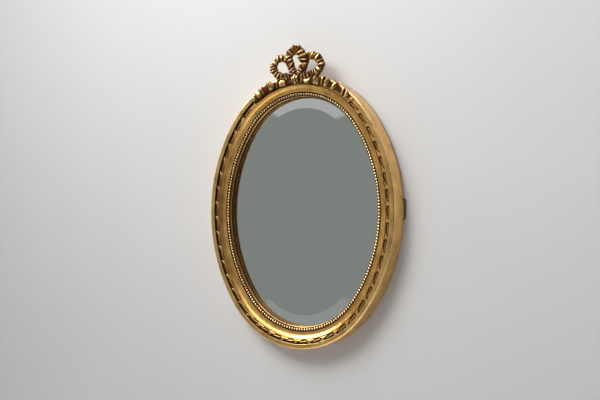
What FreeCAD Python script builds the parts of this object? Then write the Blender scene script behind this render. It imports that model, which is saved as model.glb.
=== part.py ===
import FreeCAD, Part
import math
import os
import re
import Sketcher
from FreeCAD import Placement, Rotation, Vector

# Oval wall mirror: a gilded frame of four curved rails, a bevelled glass, a pleated ribbon bow and two
# hanging loops. Pieces are drawn lying down, with x and y in the plane of the glass and height measured
# from the back of the frame.

# Driving dimensions, in millimetres
SIZES = {
    # Oval of the frame's outer edge: two end arcs and two side arcs that meet tangent, as shares of the width
    "oval_width": 427.0,
    "oval_height_share": 1.26,
    "end_radius_share": 0.4333,
    # Section of the moulding, from the outer edge inwards; heights from the back are shares of the depth
    "frame_depth": 40.4,
    "back_chamfer": 1.5,
    "rim_round": 3.0,
    "rim_width": 10.0,
    "channel_width": 9.0,
    "channel_floor_share": 0.8045,
    "cove_lip": 1.2,
    "cove_top_share": 0.896,
    "cove_width": 11.0,
    "cove_foot_share": 0.7228,
    "fillet_width": 2.4,
    "pearl_bed_width": 6.6,
    "pearl_bed_share": 0.6287,
    "ovolo_width": 2.0,
    "ovolo_foot_share": 0.5644,
    "cavetto_width": 1.4,
    "lip_top_share": 0.4455,
    "glass_seat_share": 0.3837,
    "rabbet_width": 7.6,
    "ledge_width": 11.0,
    # Glass and what holds it from behind
    "glass_thickness": 5.0,
    "glass_clearance": 1.0,
    "bevel_width": 27.0,
    "bevel_depth": 2.5,
    "seat_clearance": 0.05,
    "board_thickness": 5.0,
    "board_clearance": 0.4,
    "block_length": 18.0,
    "block_width": 7.0,
    "block_clearance": 0.6,
    "pin_radius": 0.9,
    "pin_length": 13.0,
    "pin_head_radius": 2.0,
    "pin_head_height": 1.0,
    # Joints of the rails
    "dowel_radius": 4.0,
    "dowel_length": 36.0,
    "dowel_height": 16.0,
    "dowel_inset": 12.0,
    "dowel_spacing": 15.0,
    "hole_clearance": 0.05,
    # Pearls
    "pearl_pitch": 5.87,
    "pearl_foot_radius": 2.3,
    "pearl_radius": 2.75,
    "pearl_lift": 1.7,
    "pearl_crown_radius": 1.5,
    "pearl_crown": 3.9,
    "pearl_strip_thickness": 0.8,
    "pearl_strip_width": 5.8,
    # Ribbon-and-stick twist
    "twist_pitch": 31.2,
    "twist_fit": 0.1,
    "twist_outer_share": 0.9505,
    "twist_inner_share": 0.9059,
    "pocket_bed": 1.4,
    "stick_radius": 1.3,
    "stick_length": 15.0,
    # Crest
    "bow_half_width": 64.0,
    "bow_rise": 58.0,
    "ribbon_width": 12.0,
    "ribbon_thickness": 9.0,
    "pleat_pitch": 6.2,
    "crest_gap": 0.1,
    "knot_radius": 8.5,
    "knot_height": 8.0,
    "knot_shoulder": 2.7,
    "knot_inset": 10.5,
    "knot_eye_radius": 3.0,
    "knot_eye_depth": 2.0,
    "foot_thickness": 3.0,
    "tail_width": 15.0,
    "tail_thickness": 9.0,
    "peg_radius": 1.5,
    "peg_length": 14.0,
    "peg_depth": 9.0,
    "peg_inset": 4.5,
    "peg_spread": 29.0,
    # Hanging loops
    "hanger_inset": 11.5,
    "hanger_rise": 6.0,
    "plate_length": 12.5,
    "plate_width": 27.0,
    "plate_thickness": 1.2,
    "knuckle_wall": 1.2,
    "wire_radius": 1.5,
    "wire_clearance": 0.06,
    "ring_length": 12.5,
    "ring_width": 37.0,
    "ring_corner": 4.0,
    "screw_radius": 1.4,
    "screw_length": 14.0,
    "screw_head_radius": 2.8,
    "screw_head_height": 1.8,
    "screw_back": 7.6,
    "screw_spread": 9.0,
}

# Places along a rail, as shares of its half angle, where the board is pinned and the glass is blocked
PIN_SHARES = (-0.62, 0.0, 0.62)
BLOCK_SHARES = (-0.34, 0.34)

# Rings of a pearl from its foot to its crown: radius and height, with this many sides
PEARL_RINGS = (
    ("pearl_foot_radius", "pearl_strip_thickness / 2"),
    ("pearl_radius", "pearl_lift"),
    ("pearl_crown_radius", "pearl_crown"),
)
PEARL_SIDES = 8

# Outline of a recess of the twist, as shares of the pitch along the channel and of its width across it
RECESS_SHARES = ((-0.34, 0.12), (0.27, 0.12), (0.31, 0.45), (0.21, 0.88), (-0.04, 0.88), (-0.20, 0.60))

# Section of the pleated ribbon, as shares of its width and of its thickness
RIBBON_SHARES = ((-0.5, 0.0), (0.5, 0.0), (0.5, 0.55), (0.28, 1.0), (-0.28, 1.0), (-0.5, 0.55))
VALLEY_SHARE = 0.82

# Run of each loop of the bow: x as a share of the half width, y as a share of the rise above the rim,
# back of the ribbon as a share of its thickness above the rim, and shares of its width and of its thickness
LEFT_LOOP_SHARES = (
    (-0.15, -0.075, 0.01, 0.60, 0.75),
    (-0.30, -0.055, 0.01, 0.90, 1.00),
    (-0.53, -0.030, 0.01, 1.00, 1.00),
    (-0.72, 0.055, 0.01, 1.05, 1.00),
    (-0.85, 0.220, -0.08, 1.05, 1.00),
    (-0.865, 0.400, -0.16, 1.05, 1.00),
    (-0.77, 0.560, -0.26, 1.05, 1.00),
    (-0.61, 0.640, -0.48, 1.05, 0.95),
    (-0.48, 0.580, -0.80, 1.00, 0.90),
    (-0.405, 0.430, -1.02, 1.00, 0.85),
    (-0.330, 0.250, -1.08, 0.95, 0.85),
    (-0.200, 0.045, -1.10, 0.85, 0.85),
)
RIGHT_LOOP_SHARES = (
    (0.205, -0.088, 0.01, 0.58, 0.75),
    (0.33, -0.070, 0.01, 0.85, 1.00),
    (0.56, -0.035, 0.01, 1.05, 1.00),
    (0.745, 0.045, 0.01, 1.10, 1.00),
    (0.855, 0.205, -0.05, 1.10, 1.00),
    (0.86, 0.380, -0.10, 1.10, 1.00),
    (0.765, 0.530, -0.20, 1.05, 1.00),
    (0.595, 0.615, -0.40, 1.00, 0.95),
    (0.42, 0.630, -0.80, 0.95, 0.90),
    (0.285, 0.540, -1.02, 0.90, 0.85),
    (0.225, 0.380, -1.08, 0.85, 0.85),
    (0.19, 0.215, -1.10, 0.80, 0.85),
    (0.135, 0.025, -1.10, 0.70, 0.85),
)
TOP_LOOP_SHARES = (
    (-0.045, -0.165, 0.01, 0.42, 0.33),
    (-0.052, -0.015, 0.01, 0.46, 0.33),
    (-0.075, 0.065, 0.05, 0.62, 0.70),
    (-0.130, 0.205, 0.10, 0.85, 0.95),
    (-0.195, 0.380, 0.14, 1.05, 1.00),
    (-0.240, 0.560, 0.14, 1.15, 1.00),
    (-0.225, 0.700, 0.10, 1.20, 1.00),
    (-0.140, 0.820, 0.06, 1.28, 1.00),
    (-0.005, 0.860, 0.04, 1.30, 1.00),
    (0.120, 0.810, 0.06, 1.28, 1.00),
    (0.200, 0.700, 0.10, 1.25, 1.00),
    (0.245, 0.570, 0.14, 1.25, 1.00),
    (0.270, 0.400, 0.14, 1.25, 1.00),
    (0.245, 0.230, 0.12, 1.12, 1.00),
    (0.165, 0.090, 0.06, 0.78, 0.78),
    (0.085, -0.025, 0.01, 0.48, 0.33),
    (0.060, -0.165, 0.01, 0.42, 0.33),
)

# Run of the ribbon's tails: angle as a share of the top rail's half angle, middle as a share of the rim and
# channel's width, and shares of the tail's width and thickness
LEFT_TAIL_SHARES = (
    (0.17, 0.70, 0.50, 0.40),
    (0.25, 0.62, 0.80, 0.85),
    (0.33, 0.56, 0.72, 0.55),
    (0.43, 0.44, 1.10, 1.00),
    (0.53, 0.46, 0.75, 0.50),
    (0.60, 0.46, 0.95, 0.80),
    (0.66, 0.50, 0.70, 0.45),
    (0.71, 0.55, 0.35, 0.25),
)
RIGHT_TAIL_SHARES = (
    (0.17, 0.72, 0.50, 0.40),
    (0.24, 0.64, 0.80, 0.80),
    (0.31, 0.56, 0.75, 0.55),
    (0.39, 0.46, 1.05, 0.95),
    (0.47, 0.48, 0.75, 0.50),
    (0.55, 0.46, 1.05, 0.95),
    (0.64, 0.50, 0.80, 0.45),
    (0.72, 0.48, 0.75, 0.45),
    (0.80, 0.36, 0.25, 0.25),
)

# Formulas of the oval, in the names of the driving dimensions
OVAL_HEIGHT = "(oval_height_share * oval_width)"
END_RADIUS = "(end_radius_share * oval_width)"
END_OFFSET = f"({OVAL_HEIGHT} / 2 - {END_RADIUS})"
SIDE_SPAN = f"((oval_width / 2) ^ 2 + {END_OFFSET} ^ 2 - {END_RADIUS} ^ 2)"
SIDE_RADIUS = f"({SIDE_SPAN} / (oval_width - 2 * {END_RADIUS}))"
SIDE_OFFSET = f"({SIDE_RADIUS} - oval_width / 2)"
SIDE_HALF_ANGLE = f"atan({END_OFFSET} / {SIDE_OFFSET})"
END_HALF_ANGLE = f"atan({SIDE_OFFSET} / {END_OFFSET})"

# Insets of the moulding's lines from the outer edge
CHANNEL_IN = "(rim_width + channel_width)"
COVE_OUT = f"({CHANNEL_IN} + cove_lip)"
COVE_IN = f"({COVE_OUT} + cove_width)"
PEARL_OUT = f"({COVE_IN} + fillet_width)"
PEARL_MIDDLE = f"({PEARL_OUT} + pearl_bed_width / 2)"
PEARL_IN = f"({PEARL_OUT} + pearl_bed_width)"
OVOLO_IN = f"({PEARL_IN} + ovolo_width)"
SIGHT = f"({OVOLO_IN} + cavetto_width)"
RABBET = f"({SIGHT} - rabbet_width)"
BOARD_EDGE = f"({RABBET} - ledge_width)"
GLASS_EDGE = f"({RABBET} + glass_clearance)"
CHANNEL_MIDDLE = "(rim_width + channel_width / 2)"

# Heights of the moulding's lines above the back
CHANNEL_FLOOR = "(channel_floor_share * frame_depth)"
COVE_TOP = "(cove_top_share * frame_depth)"
COVE_FOOT = "(cove_foot_share * frame_depth)"
PEARL_BED = "(pearl_bed_share * frame_depth)"
OVOLO_FOOT = "(ovolo_foot_share * frame_depth)"
LIP_TOP = "(lip_top_share * frame_depth)"
GLASS_SEAT = "(glass_seat_share * frame_depth)"
TWIST_OUTER = "(twist_outer_share * frame_depth)"
TWIST_INNER = "(twist_inner_share * frame_depth)"
RECESS_FLOOR = f"({CHANNEL_FLOOR} + pocket_bed)"

# Heights that follow from the seat of the bevel on the sight edge
GLASS_FRONT = f"({GLASS_SEAT} - seat_clearance + bevel_depth * (1 - ({SIGHT} - {GLASS_EDGE}) / bevel_width))"
GLASS_BACK = f"({GLASS_FRONT} - glass_thickness)"
KNUCKLE_RADIUS = "(wire_radius + wire_clearance + knuckle_wall)"

# Rails: radius, half angle, centre of the arc in x and y, and the turn that brings the rail to its place
RAILS = {
    "right": (SIDE_RADIUS, SIDE_HALF_ANGLE, f"-{SIDE_OFFSET}", "0", 0),
    "top": (END_RADIUS, END_HALF_ANGLE, "0", END_OFFSET, 90),
    "left": (SIDE_RADIUS, SIDE_HALF_ANGLE, SIDE_OFFSET, "0", 180),
    "bottom": (END_RADIUS, END_HALF_ANGLE, "0", f"-{END_OFFSET}", 270),
}

# Hangers: hinge point in x and y, and the turn that points the ring away from the middle
HANGERS = {
    "top": ("0", f"{OVAL_HEIGHT} / 2 - hanger_inset", 90),
    "side": ("oval_width / 2 - hanger_inset", "hanger_rise", 0),
}

PLAN_AXIS = Vector(0, 0, 1)
STANDING = Rotation(Vector(1, 0, 0), 90)

doc = FreeCAD.newDocument("oval_mirror")
sheet = doc.addObject("Spreadsheet::Sheet", "Sizes")
for row, (alias, number) in enumerate(SIZES.items(), 1):
    sheet.set(f"A{row}", alias)
    sheet.set(f"B{row}", str(number))
    sheet.setAlias(f"B{row}", alias)
doc.recompute()

sub_parts = []
cuts = []


def ref(text):
    """The formula with each driving dimension named in its sheet."""
    return re.sub(r"\b[a-z]\w*\b(?!\()", r"Sizes.\g<0>", text)


def value(text):
    """The number that a formula gives, in millimetres or degrees."""
    return float(sheet.evalExpression(ref(text)))


def keep(piece, name):
    """Names a finished sub-part."""
    piece.Label = name
    sub_parts.append(piece)
    return piece


def stand(piece, x, y, height, turn):
    """Stands a piece up: plan x goes to X, plan y to Z and height to -Y, after a turn in the plan."""
    piece.Placement = Placement(Vector(), STANDING * Rotation(PLAN_AXIS, turn))
    piece.setExpression("Placement.Base.x", ref(x))
    piece.setExpression("Placement.Base.y", ref(f"-({height})"))
    piece.setExpression("Placement.Base.z", ref(y))


def feature(shape, name):
    """A piece whose shape is made directly, stood up in its place."""
    piece = doc.addObject("Part::Feature", name)
    piece.Shape = shape
    piece.Placement = Placement(Vector(), STANDING)
    return piece


def sketch_on(body, role, name, height="0", turn=0.0):
    """A sketch on one of the body's own planes, lifted along it and turned about the plan's axis."""
    sketch = body.newObject("Sketcher::SketchObject", name)
    base = next(item for item in body.Origin.OriginFeatures if item.Role == role)
    sketch.AttachmentSupport = (base, [""])
    sketch.MapMode = "FlatFace"
    turn_axis = PLAN_AXIS if role == "XY_Plane" else Vector(0, 1, 0)
    sketch.AttachmentOffset = Placement(Vector(), Rotation(turn_axis, turn))
    sketch.setExpression("AttachmentOffset.Base.z", ref(height))
    return sketch


def bind(sketch, kind, geometry, place, formula):
    """Ties one coordinate of a sketch point to a formula, measured from the sketch's origin."""
    number = value(formula)
    if number == 0:
        axis = -2 if kind == "DistanceX" else -1
        sketch.addConstraint(Sketcher.Constraint("PointOnObject", geometry, place, axis))
    elif number > 0:
        index = sketch.addConstraint(Sketcher.Constraint(kind, -1, 1, geometry, place, number))
        sketch.setExpression(f"Constraints[{index}]", ref(formula))
    else:
        index = sketch.addConstraint(Sketcher.Constraint(kind, geometry, place, -1, 1, -number))
        sketch.setExpression(f"Constraints[{index}]", ref(f"-({formula})"))


def arc_edge(first, last, bend):
    """An arc from first to last whose centre is level or plumb with one of its ends, and its end numbers."""
    direction, end, sense = bend
    anchor, other = (first, last) if end == "start" else (last, first)
    axis = Vector(1, 0, 0) if direction == "level" else Vector(0, 1, 0)
    chord = other - anchor
    centre = anchor + axis * (chord.dot(chord) / (2 * chord.dot(axis)))
    begin, finish = (first, last) if sense == "left" else (last, first)
    angles = [math.atan2(point.y - centre.y, point.x - centre.x) for point in (begin, finish)]
    circle = Part.Circle(centre, PLAN_AXIS, (first - centre).Length)
    ends = (1, 2) if sense == "left" else (2, 1)
    return Part.ArcOfCircle(circle, angles[0], angles[1]), ends


def outline(sketch, corners):
    """A closed outline through corners (x, y, bend): a bend of None runs straight to the next corner."""
    points = [Vector(value(x), value(y), 0) for x, y, bend in corners]
    edges = []
    for index, (x, y, bend) in enumerate(corners):
        following = points[(index + 1) % len(points)]
        if bend is None:
            edges.append((sketch.addGeometry(Part.LineSegment(points[index], following)), (1, 2)))
        else:
            arc, ends = arc_edge(points[index], following, bend)
            edges.append((sketch.addGeometry(arc), ends))
    for index, (edge, ends) in enumerate(edges):
        after, after_ends = edges[(index + 1) % len(edges)]
        sketch.addConstraint(Sketcher.Constraint("Coincident", edge, ends[1], after, after_ends[0]))
    for (edge, ends), (x, y, bend) in zip(edges, corners):
        bind(sketch, "DistanceX", edge, ends[0], x)
        bind(sketch, "DistanceY", edge, ends[0], y)
        if bend is not None:
            kind = "Horizontal" if bend[0] == "level" else "Vertical"
            end = ends[0] if bend[1] == "start" else ends[1]
            sketch.addConstraint(Sketcher.Constraint(kind, edge, 3, edge, end))


def oval_outline(sketch, inset):
    """The oval drawn in by an inset: each quarter is half a side arc and half an end arc."""
    reach = f"({END_RADIUS} - {inset})"
    joint_x = f"({reach} * cos({SIDE_HALF_ANGLE}))"
    joint_y = f"({END_OFFSET} + {reach} * sin({SIDE_HALF_ANGLE}))"
    side = f"(oval_width / 2 - {inset})"
    tip = f"({OVAL_HEIGHT} / 2 - {inset})"
    outline(sketch, [
        (side, "0", ("level", "start", "left")),
        (joint_x, joint_y, ("plumb", "end", "left")),
        ("0", tip, ("plumb", "start", "left")),
        (f"-{joint_x}", joint_y, ("level", "end", "left")),
        (f"-{side}", "0", ("level", "start", "left")),
        (f"-{joint_x}", f"-{joint_y}", ("plumb", "end", "left")),
        ("0", f"-{tip}", ("plumb", "start", "left")),
        (joint_x, f"-{joint_y}", ("level", "end", "left")),
    ])


def rail_point(rail, share, inset):
    """The plan point of a rail at a share of its half angle and an inset, with the angle of its radius."""
    radius, half_angle, x, y, turn = RAILS[rail]
    angle = math.radians(turn + share * value(half_angle))
    reach = value(f"{radius} - {inset}")
    place = Vector(value(x) + reach * math.cos(angle), value(y) + reach * math.sin(angle), 0)
    return place, math.degrees(angle)


def revolved(name, corners, angle):
    """A body whose outline turns about the plan's axis, evenly to both sides."""
    body = doc.addObject("PartDesign::Body", name)
    section = sketch_on(body, "XZ_Plane", f"{name}_section")
    outline(section, corners)
    turned = body.newObject("PartDesign::Revolution", f"{name}_turned")
    turned.Profile = section
    turned.ReferenceAxis = (section, ["V_Axis"])
    turned.Midplane = True
    turned.setExpression("Angle", ref(angle))
    return body


def repeat(body, name, originals, extent, count):
    """Repeats features of a body about the plan's axis."""
    pattern = body.newObject("PartDesign::PolarPattern", f"{name}_row")
    pattern.Originals = originals
    pattern.Axis = (next(item for item in body.Origin.OriginFeatures if item.Role == "Z_Axis"), [""])
    pattern.Angle = extent
    pattern.Occurrences = count
    body.Tip = pattern
    return pattern


def cylinder(radius, length, base, direction):
    """A round bar, given by the names of its radius and length."""
    return Part.makeCylinder(value(radius), value(length), base, direction)


# Frame rails: the moulding turned about the centre of each arc
def moulding_corners(radius):
    """The section of the moulding: back, rim, channel, cove, pearl bed, sight edge and rabbet."""
    return [
        (f"{radius} - back_chamfer", "0", None),
        (radius, "back_chamfer", None),
        (radius, "frame_depth - rim_round", ("level", "start", "left")),
        (f"{radius} - rim_round", "frame_depth", None),
        (f"{radius} - rim_width", "frame_depth", None),
        (f"{radius} - rim_width", CHANNEL_FLOOR, None),
        (f"{radius} - {CHANNEL_IN}", CHANNEL_FLOOR, None),
        (f"{radius} - {CHANNEL_IN}", COVE_TOP, None),
        (f"{radius} - {COVE_OUT}", COVE_TOP, ("plumb", "end", "right")),
        (f"{radius} - {COVE_IN}", COVE_FOOT, None),
        (f"{radius} - {PEARL_OUT}", COVE_FOOT, None),
        (f"{radius} - {PEARL_OUT}", PEARL_BED, None),
        (f"{radius} - {PEARL_IN}", PEARL_BED, ("plumb", "start", "left")),
        (f"{radius} - {OVOLO_IN}", OVOLO_FOOT, ("level", "start", "right")),
        (f"{radius} - {SIGHT}", LIP_TOP, None),
        (f"{radius} - {SIGHT}", GLASS_SEAT, None),
        (f"{radius} - {RABBET}", GLASS_SEAT, None),
        (f"{radius} - {RABBET}", "board_thickness", None),
        (f"{radius} - {BOARD_EDGE}", "board_thickness", None),
        (f"{radius} - {BOARD_EDGE}", "0", None),
    ]


rail_bodies = {}
for rail, (radius, half_angle, x, y, turn) in RAILS.items():
    body = revolved(f"rail_{rail}", moulding_corners(radius), f"2 * {half_angle}")
    stand(body, x, y, "0", turn)
    rail_bodies[rail] = body


# Fasteners and the holes that they sit in
def dowel_places():
    """Middle and direction of each dowel: two in each joint, along the tangent of the oval."""
    split = math.radians(value(SIDE_HALF_ANGLE))
    for x_sign, y_sign in ((1, 1), (-1, 1), (-1, -1), (1, -1)):
        radial = Vector(x_sign * math.cos(split), y_sign * math.sin(split), 0)
        along = PLAN_AXIS.cross(radial)
        for step in (0, 1):
            reach = value(f"{END_RADIUS} - dowel_inset - {step} * dowel_spacing")
            yield Vector(0, y_sign * value(END_OFFSET), value("dowel_height")) + radial * reach, along


def board_pin(clearance):
    """A pin with its head, pointing into the frame, larger all round by a clearance."""
    head = cylinder(f"pin_head_radius + {clearance}", "pin_head_height", Vector(), PLAN_AXIS)
    shank = cylinder(f"pin_radius + {clearance}", f"pin_length + {clearance}", Vector(), PLAN_AXIS)
    return head.fuse(shank)


def pin_places():
    """Where the board is pinned to the ledge of the rails."""
    for rail in RAILS:
        for share in PIN_SHARES:
            yield rail_point(rail, share, f"({BOARD_EDGE} + ledge_width / 2)")[0]


def screw_places():
    """Where the hanger plates are screwed to the back."""
    for x, y, turn in HANGERS.values():
        for sign in (-1, 1):
            offset = Vector(-value("screw_back"), sign * value("screw_spread"), 0)
            yield Vector(value(x), value(y), 0) + Rotation(PLAN_AXIS, turn).multVec(offset)


def peg_places():
    """Where the bow is pegged to the rim."""
    for sign in (-1, 1):
        x = sign * value("peg_spread")
        reach = value(f"{END_RADIUS} - peg_inset")
        y = value(END_OFFSET) + math.sqrt(reach ** 2 - x ** 2)
        yield Vector(x, y, value("frame_depth - peg_depth"))


def dowels(clearance):
    """All dowels, longer and thicker all round by a clearance."""
    length = f"dowel_length + 2 * {clearance}"
    bars = []
    for middle, along in dowel_places():
        base = middle - along * (value(length) / 2)
        bars.append(cylinder(f"dowel_radius + {clearance}", length, base, along))
    return bars


def pegs(clearance):
    """The pegs of the crest, longer and thicker all round by a clearance."""
    drop = PLAN_AXIS * value(clearance)
    return [cylinder(f"peg_radius + {clearance}", f"peg_length + 2 * {clearance}", place - drop, PLAN_AXIS)
            for place in peg_places()]


def pins(clearance):
    """All board pins at their places."""
    tool = board_pin(clearance)
    return [tool.translated(place) for place in pin_places()]


def screw_shanks(clearance):
    """The shanks of the hanger screws, from the outside of the plate into the frame."""
    lift = PLAN_AXIS * value("plate_thickness")
    return [cylinder(f"screw_radius + {clearance}", f"screw_length + {clearance}", place - lift, PLAN_AXIS)
            for place in screw_places()]


def screws():
    """The hanger screws with their pan heads outside the plate."""
    drop = PLAN_AXIS * value("plate_thickness + screw_head_height")
    heads = [cylinder("screw_head_radius", "screw_head_height", place - drop, PLAN_AXIS)
             for place in screw_places()]
    return [head.fuse(shank) for head, shank in zip(heads, screw_shanks("0"))]


all_holes = dowels("hole_clearance") + pegs("hole_clearance")
all_holes += pins("hole_clearance") + screw_shanks("hole_clearance")
wood_holes = feature(Part.makeCompound(all_holes), "wood_holes")
for rail, body in rail_bodies.items():
    drilled = doc.addObject("Part::Cut", f"drilled_rail_{rail}")
    drilled.Base = body
    drilled.Tool = wood_holes
    cuts.append((body, drilled))
    keep(drilled, f"frame_rail_{rail}")

keep(feature(Part.makeCompound(dowels("0")), "dowels"), "joint_dowels")
keep(feature(Part.makeCompound(pegs("0")), "pegs"), "crest_pegs")
keep(feature(Part.makeCompound(pins("0")), "pins"), "board_pins")
keep(feature(Part.makeCompound(screws()), "screws"), "hanger_screws")

# Mirror glass: an oval plate whose front edge is ground to a wide bevel
glass = doc.addObject("PartDesign::Body", "glass")
plate_outline = sketch_on(glass, "XY_Plane", "glass_outline")
oval_outline(plate_outline, GLASS_EDGE)
plate = glass.newObject("PartDesign::Pad", "glass_plate")
plate.Profile = plate_outline
plate.setExpression("Length", ref("glass_thickness"))
doc.recompute()
front_edges = [f"Edge{number}" for number, edge in enumerate(plate.Shape.Edges, 1)
               if edge.BoundBox.ZMin > value("glass_thickness / 2")]
bevel = glass.newObject("PartDesign::Chamfer", "glass_bevel")
bevel.Base = (plate, front_edges)
bevel.ChamferType = "Two distances"
bevel.setExpression("Size", ref("bevel_width"))
bevel.setExpression("Size2", ref("bevel_depth"))
cuts.append((plate, bevel))
stand(glass, "0", "0", GLASS_BACK, 0)
keep(glass, "mirror_glass")

# Back board, let in flush with the back of the frame and drilled for its pins
board = doc.addObject("PartDesign::Body", "board")
board_outline = sketch_on(board, "XY_Plane", "board_outline")
oval_outline(board_outline, f"({BOARD_EDGE} + board_clearance)")
panel = board.newObject("PartDesign::Pad", "board_panel")
panel.Profile = board_outline
panel.setExpression("Length", ref("board_thickness"))
stand(board, "0", "0", "0", 0)
drilled_board = doc.addObject("Part::Cut", "drilled_board")
drilled_board.Base = board
drilled_board.Tool = feature(Part.makeCompound(pins("hole_clearance")), "board_holes")
cuts.append((board, drilled_board))
keep(drilled_board, "back_board")

# Glass blocks, between the back of the glass and the board
blocks = []
for rail in RAILS:
    for share in BLOCK_SHARES:
        place, angle = rail_point(rail, share, f"({RABBET} + block_clearance)")
        block = Part.makeBox(value("block_width"), value("block_length"),
                             value(f"{GLASS_BACK} - board_thickness"),
                             Vector(-value("block_width"), -value("block_length / 2"), 0))
        block.Placement = Placement(place + PLAN_AXIS * value("board_thickness"), Rotation(PLAN_AXIS, angle))
        blocks.append(block)
keep(feature(Part.makeCompound(blocks), "blocks"), "glass_blocks")

# Pearl strips: a thin backing with a row of pearls on it
for rail, (radius, half_angle, x, y, turn) in RAILS.items():
    middle = f"{radius} - {PEARL_MIDDLE}"
    strip = revolved(f"pearls_{rail}", [
        (f"{middle} + pearl_strip_width / 2", "0", None),
        (f"{middle} + pearl_strip_width / 2", "pearl_strip_thickness", None),
        (f"{middle} - pearl_strip_width / 2", "pearl_strip_thickness", None),
        (f"{middle} - pearl_strip_width / 2", "0", None),
    ], f"2 * {half_angle}")
    count = round(math.radians(2 * value(half_angle)) * value(middle) / value("pearl_pitch"))
    step = 2 * value(half_angle) / count
    rings = []
    for radius_name, height in PEARL_RINGS:
        ring = sketch_on(strip, "XY_Plane", f"pearl_{rail}_ring", height, -step * (count - 1) / 2)
        angles = [2 * math.pi * (corner + 1 / 2) / PEARL_SIDES for corner in range(PEARL_SIDES)]
        outline(ring, [(f"{middle} + {math.cos(angle)} * {radius_name}",
                        f"{math.sin(angle)} * {radius_name}", None) for angle in angles])
        rings.append(ring)
    pearl = strip.newObject("PartDesign::AdditiveLoft", f"pearl_{rail}")
    pearl.Profile = rings[0]
    pearl.Sections = rings[1:]
    pearl.Ruled = True
    repeat(strip, f"pearl_{rail}", [pearl], step * (count - 1), count)
    stand(strip, x, y, PEARL_BED, turn)
    keep(strip, f"pearl_strip_{rail}")


# Twist strips: a ribbon wound about a stick, with a boat-shaped recess between the turns of the ribbon
def twist_strip(name, rail, first_share, last_share):
    """A length of the twist between two shares of a rail's half angle."""
    radius, half_angle, x, y, turn = RAILS[rail]
    span = f"({last_share} - {first_share}) * {half_angle}"
    outer = f"{radius} - rim_width - twist_fit"
    inner = f"{radius} - {CHANNEL_IN} + twist_fit"
    strip = revolved(name, [
        (outer, CHANNEL_FLOOR, None),
        (outer, TWIST_OUTER, None),
        (inner, TWIST_INNER, None),
        (inner, CHANNEL_FLOOR, None),
    ], span)
    run = math.radians(value(span)) * value(f"{radius} - {CHANNEL_MIDDLE}")
    count = max(1, round(run / value("twist_pitch")))
    step = value(span) / count
    start = -step * (count - 1) / 2
    recess_outline = sketch_on(strip, "XY_Plane", f"{name}_recess_outline", RECESS_FLOOR, start)
    outline(recess_outline, [(f"{radius} - rim_width - {across} * channel_width",
                              f"{along} * twist_pitch", None) for along, across in RECESS_SHARES])
    recess = strip.newObject("PartDesign::Pocket", f"{name}_recess")
    recess.Profile = recess_outline
    recess.Type = "ThroughAll"
    recess.Reversed = True
    cuts.append((strip.Group[1], recess))
    stick_end = sketch_on(strip, "XZ_Plane", f"{name}_stick_end", turn=start)
    middle = Vector(value(f"{radius} - {CHANNEL_MIDDLE}"), value(RECESS_FLOOR), 0)
    edge = stick_end.addGeometry(Part.Circle(middle, PLAN_AXIS, value("stick_radius")))
    bind(stick_end, "DistanceX", edge, 3, f"{radius} - {CHANNEL_MIDDLE}")
    bind(stick_end, "DistanceY", edge, 3, RECESS_FLOOR)
    index = stick_end.addConstraint(Sketcher.Constraint("Radius", edge, value("stick_radius")))
    stick_end.setExpression(f"Constraints[{index}]", ref("stick_radius"))
    stick = strip.newObject("PartDesign::Pad", f"{name}_stick")
    stick.Profile = stick_end
    stick.SideType = "Symmetric"
    stick.setExpression("Length", ref("stick_length"))
    if count > 1:
        repeat(strip, name, [recess, stick], step * (count - 1), count)
    stand(strip, x, y, "0", turn + value(f"({last_share} + {first_share}) / 2 * {half_angle}"))
    keep(strip, name)


for rail in ("right", "bottom", "left"):
    twist_strip(f"twist_strip_{rail}", rail, -1, 1)
twist_strip("twist_strip_top_right", "top", -1, -RIGHT_TAIL_SHARES[-1][0])
twist_strip("twist_strip_top_left", "top", LEFT_TAIL_SHARES[-1][0], 1)


# Crest: pleated ribbon, carved as ridges and valleys across its run
def plain_facet(corners):
    """A flat face between corners."""
    return Part.Face(Part.makePolygon(corners + corners[:1]))


def pleated_ribbon(points, widths):
    """A solid ribbon whose back follows points, with a width and a thickness for each of them."""
    path = Part.BSplineCurve()
    path.interpolate([Vector(*point) for point in points])
    length = path.length()
    count = 2 * round(length / value("pleat_pitch"))
    knots = [path.parameter(Vector(*point)) for point in points]
    sections = []
    for station in range(count + 1):
        parameter = path.parameterAtDistance(length * station / count)
        place = path.value(parameter)
        along = path.tangent(parameter)[0]
        across = along.cross(PLAN_AXIS).normalize()
        up = across.cross(along)
        after = next((n for n, knot in enumerate(knots) if knot >= parameter and n > 0), len(knots) - 1)
        mix = (parameter - knots[after - 1]) / (knots[after] - knots[after - 1])
        ease = mix * mix * (3 - 2 * mix)
        width = widths[after - 1][0] * (1 - ease) + widths[after][0] * ease
        thickness = widths[after - 1][1] * (1 - ease) + widths[after][1] * ease
        pleat = 1 if station % 2 else VALLEY_SHARE
        corners = []
        for side, lift in RIBBON_SHARES:
            rise = thickness * lift * (pleat if lift == 1 else 1)
            corners.append(place + across * (width * pleat * side) + up * rise)
        sections.append(corners)
    facets = [plain_facet(sections[0]), plain_facet(sections[-1])]
    for lower, upper in zip(sections, sections[1:]):
        for side in range(len(lower)):
            facets.append(plain_facet([lower[side - 1], lower[side], upper[side]]))
            facets.append(plain_facet([lower[side - 1], upper[side], upper[side - 1]]))
    ribbon = Part.makeSolid(Part.makeShell(facets))
    return ribbon if ribbon.Volume > 0 else ribbon.reversed()


def bow_ribbon(shares):
    """A loop of the bow from its table of shares."""
    rim_top = value(f"{OVAL_HEIGHT} / 2")
    rest = value("frame_depth + crest_gap")
    points = []
    widths = []
    for x, y, back, width, thickness in shares:
        height = rest + back * value("ribbon_thickness")
        points.append((x * value("bow_half_width"), rim_top + y * value("bow_rise"), height))
        widths.append((width * value("ribbon_width"), thickness * value("ribbon_thickness")))
    return pleated_ribbon(points, widths)


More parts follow.
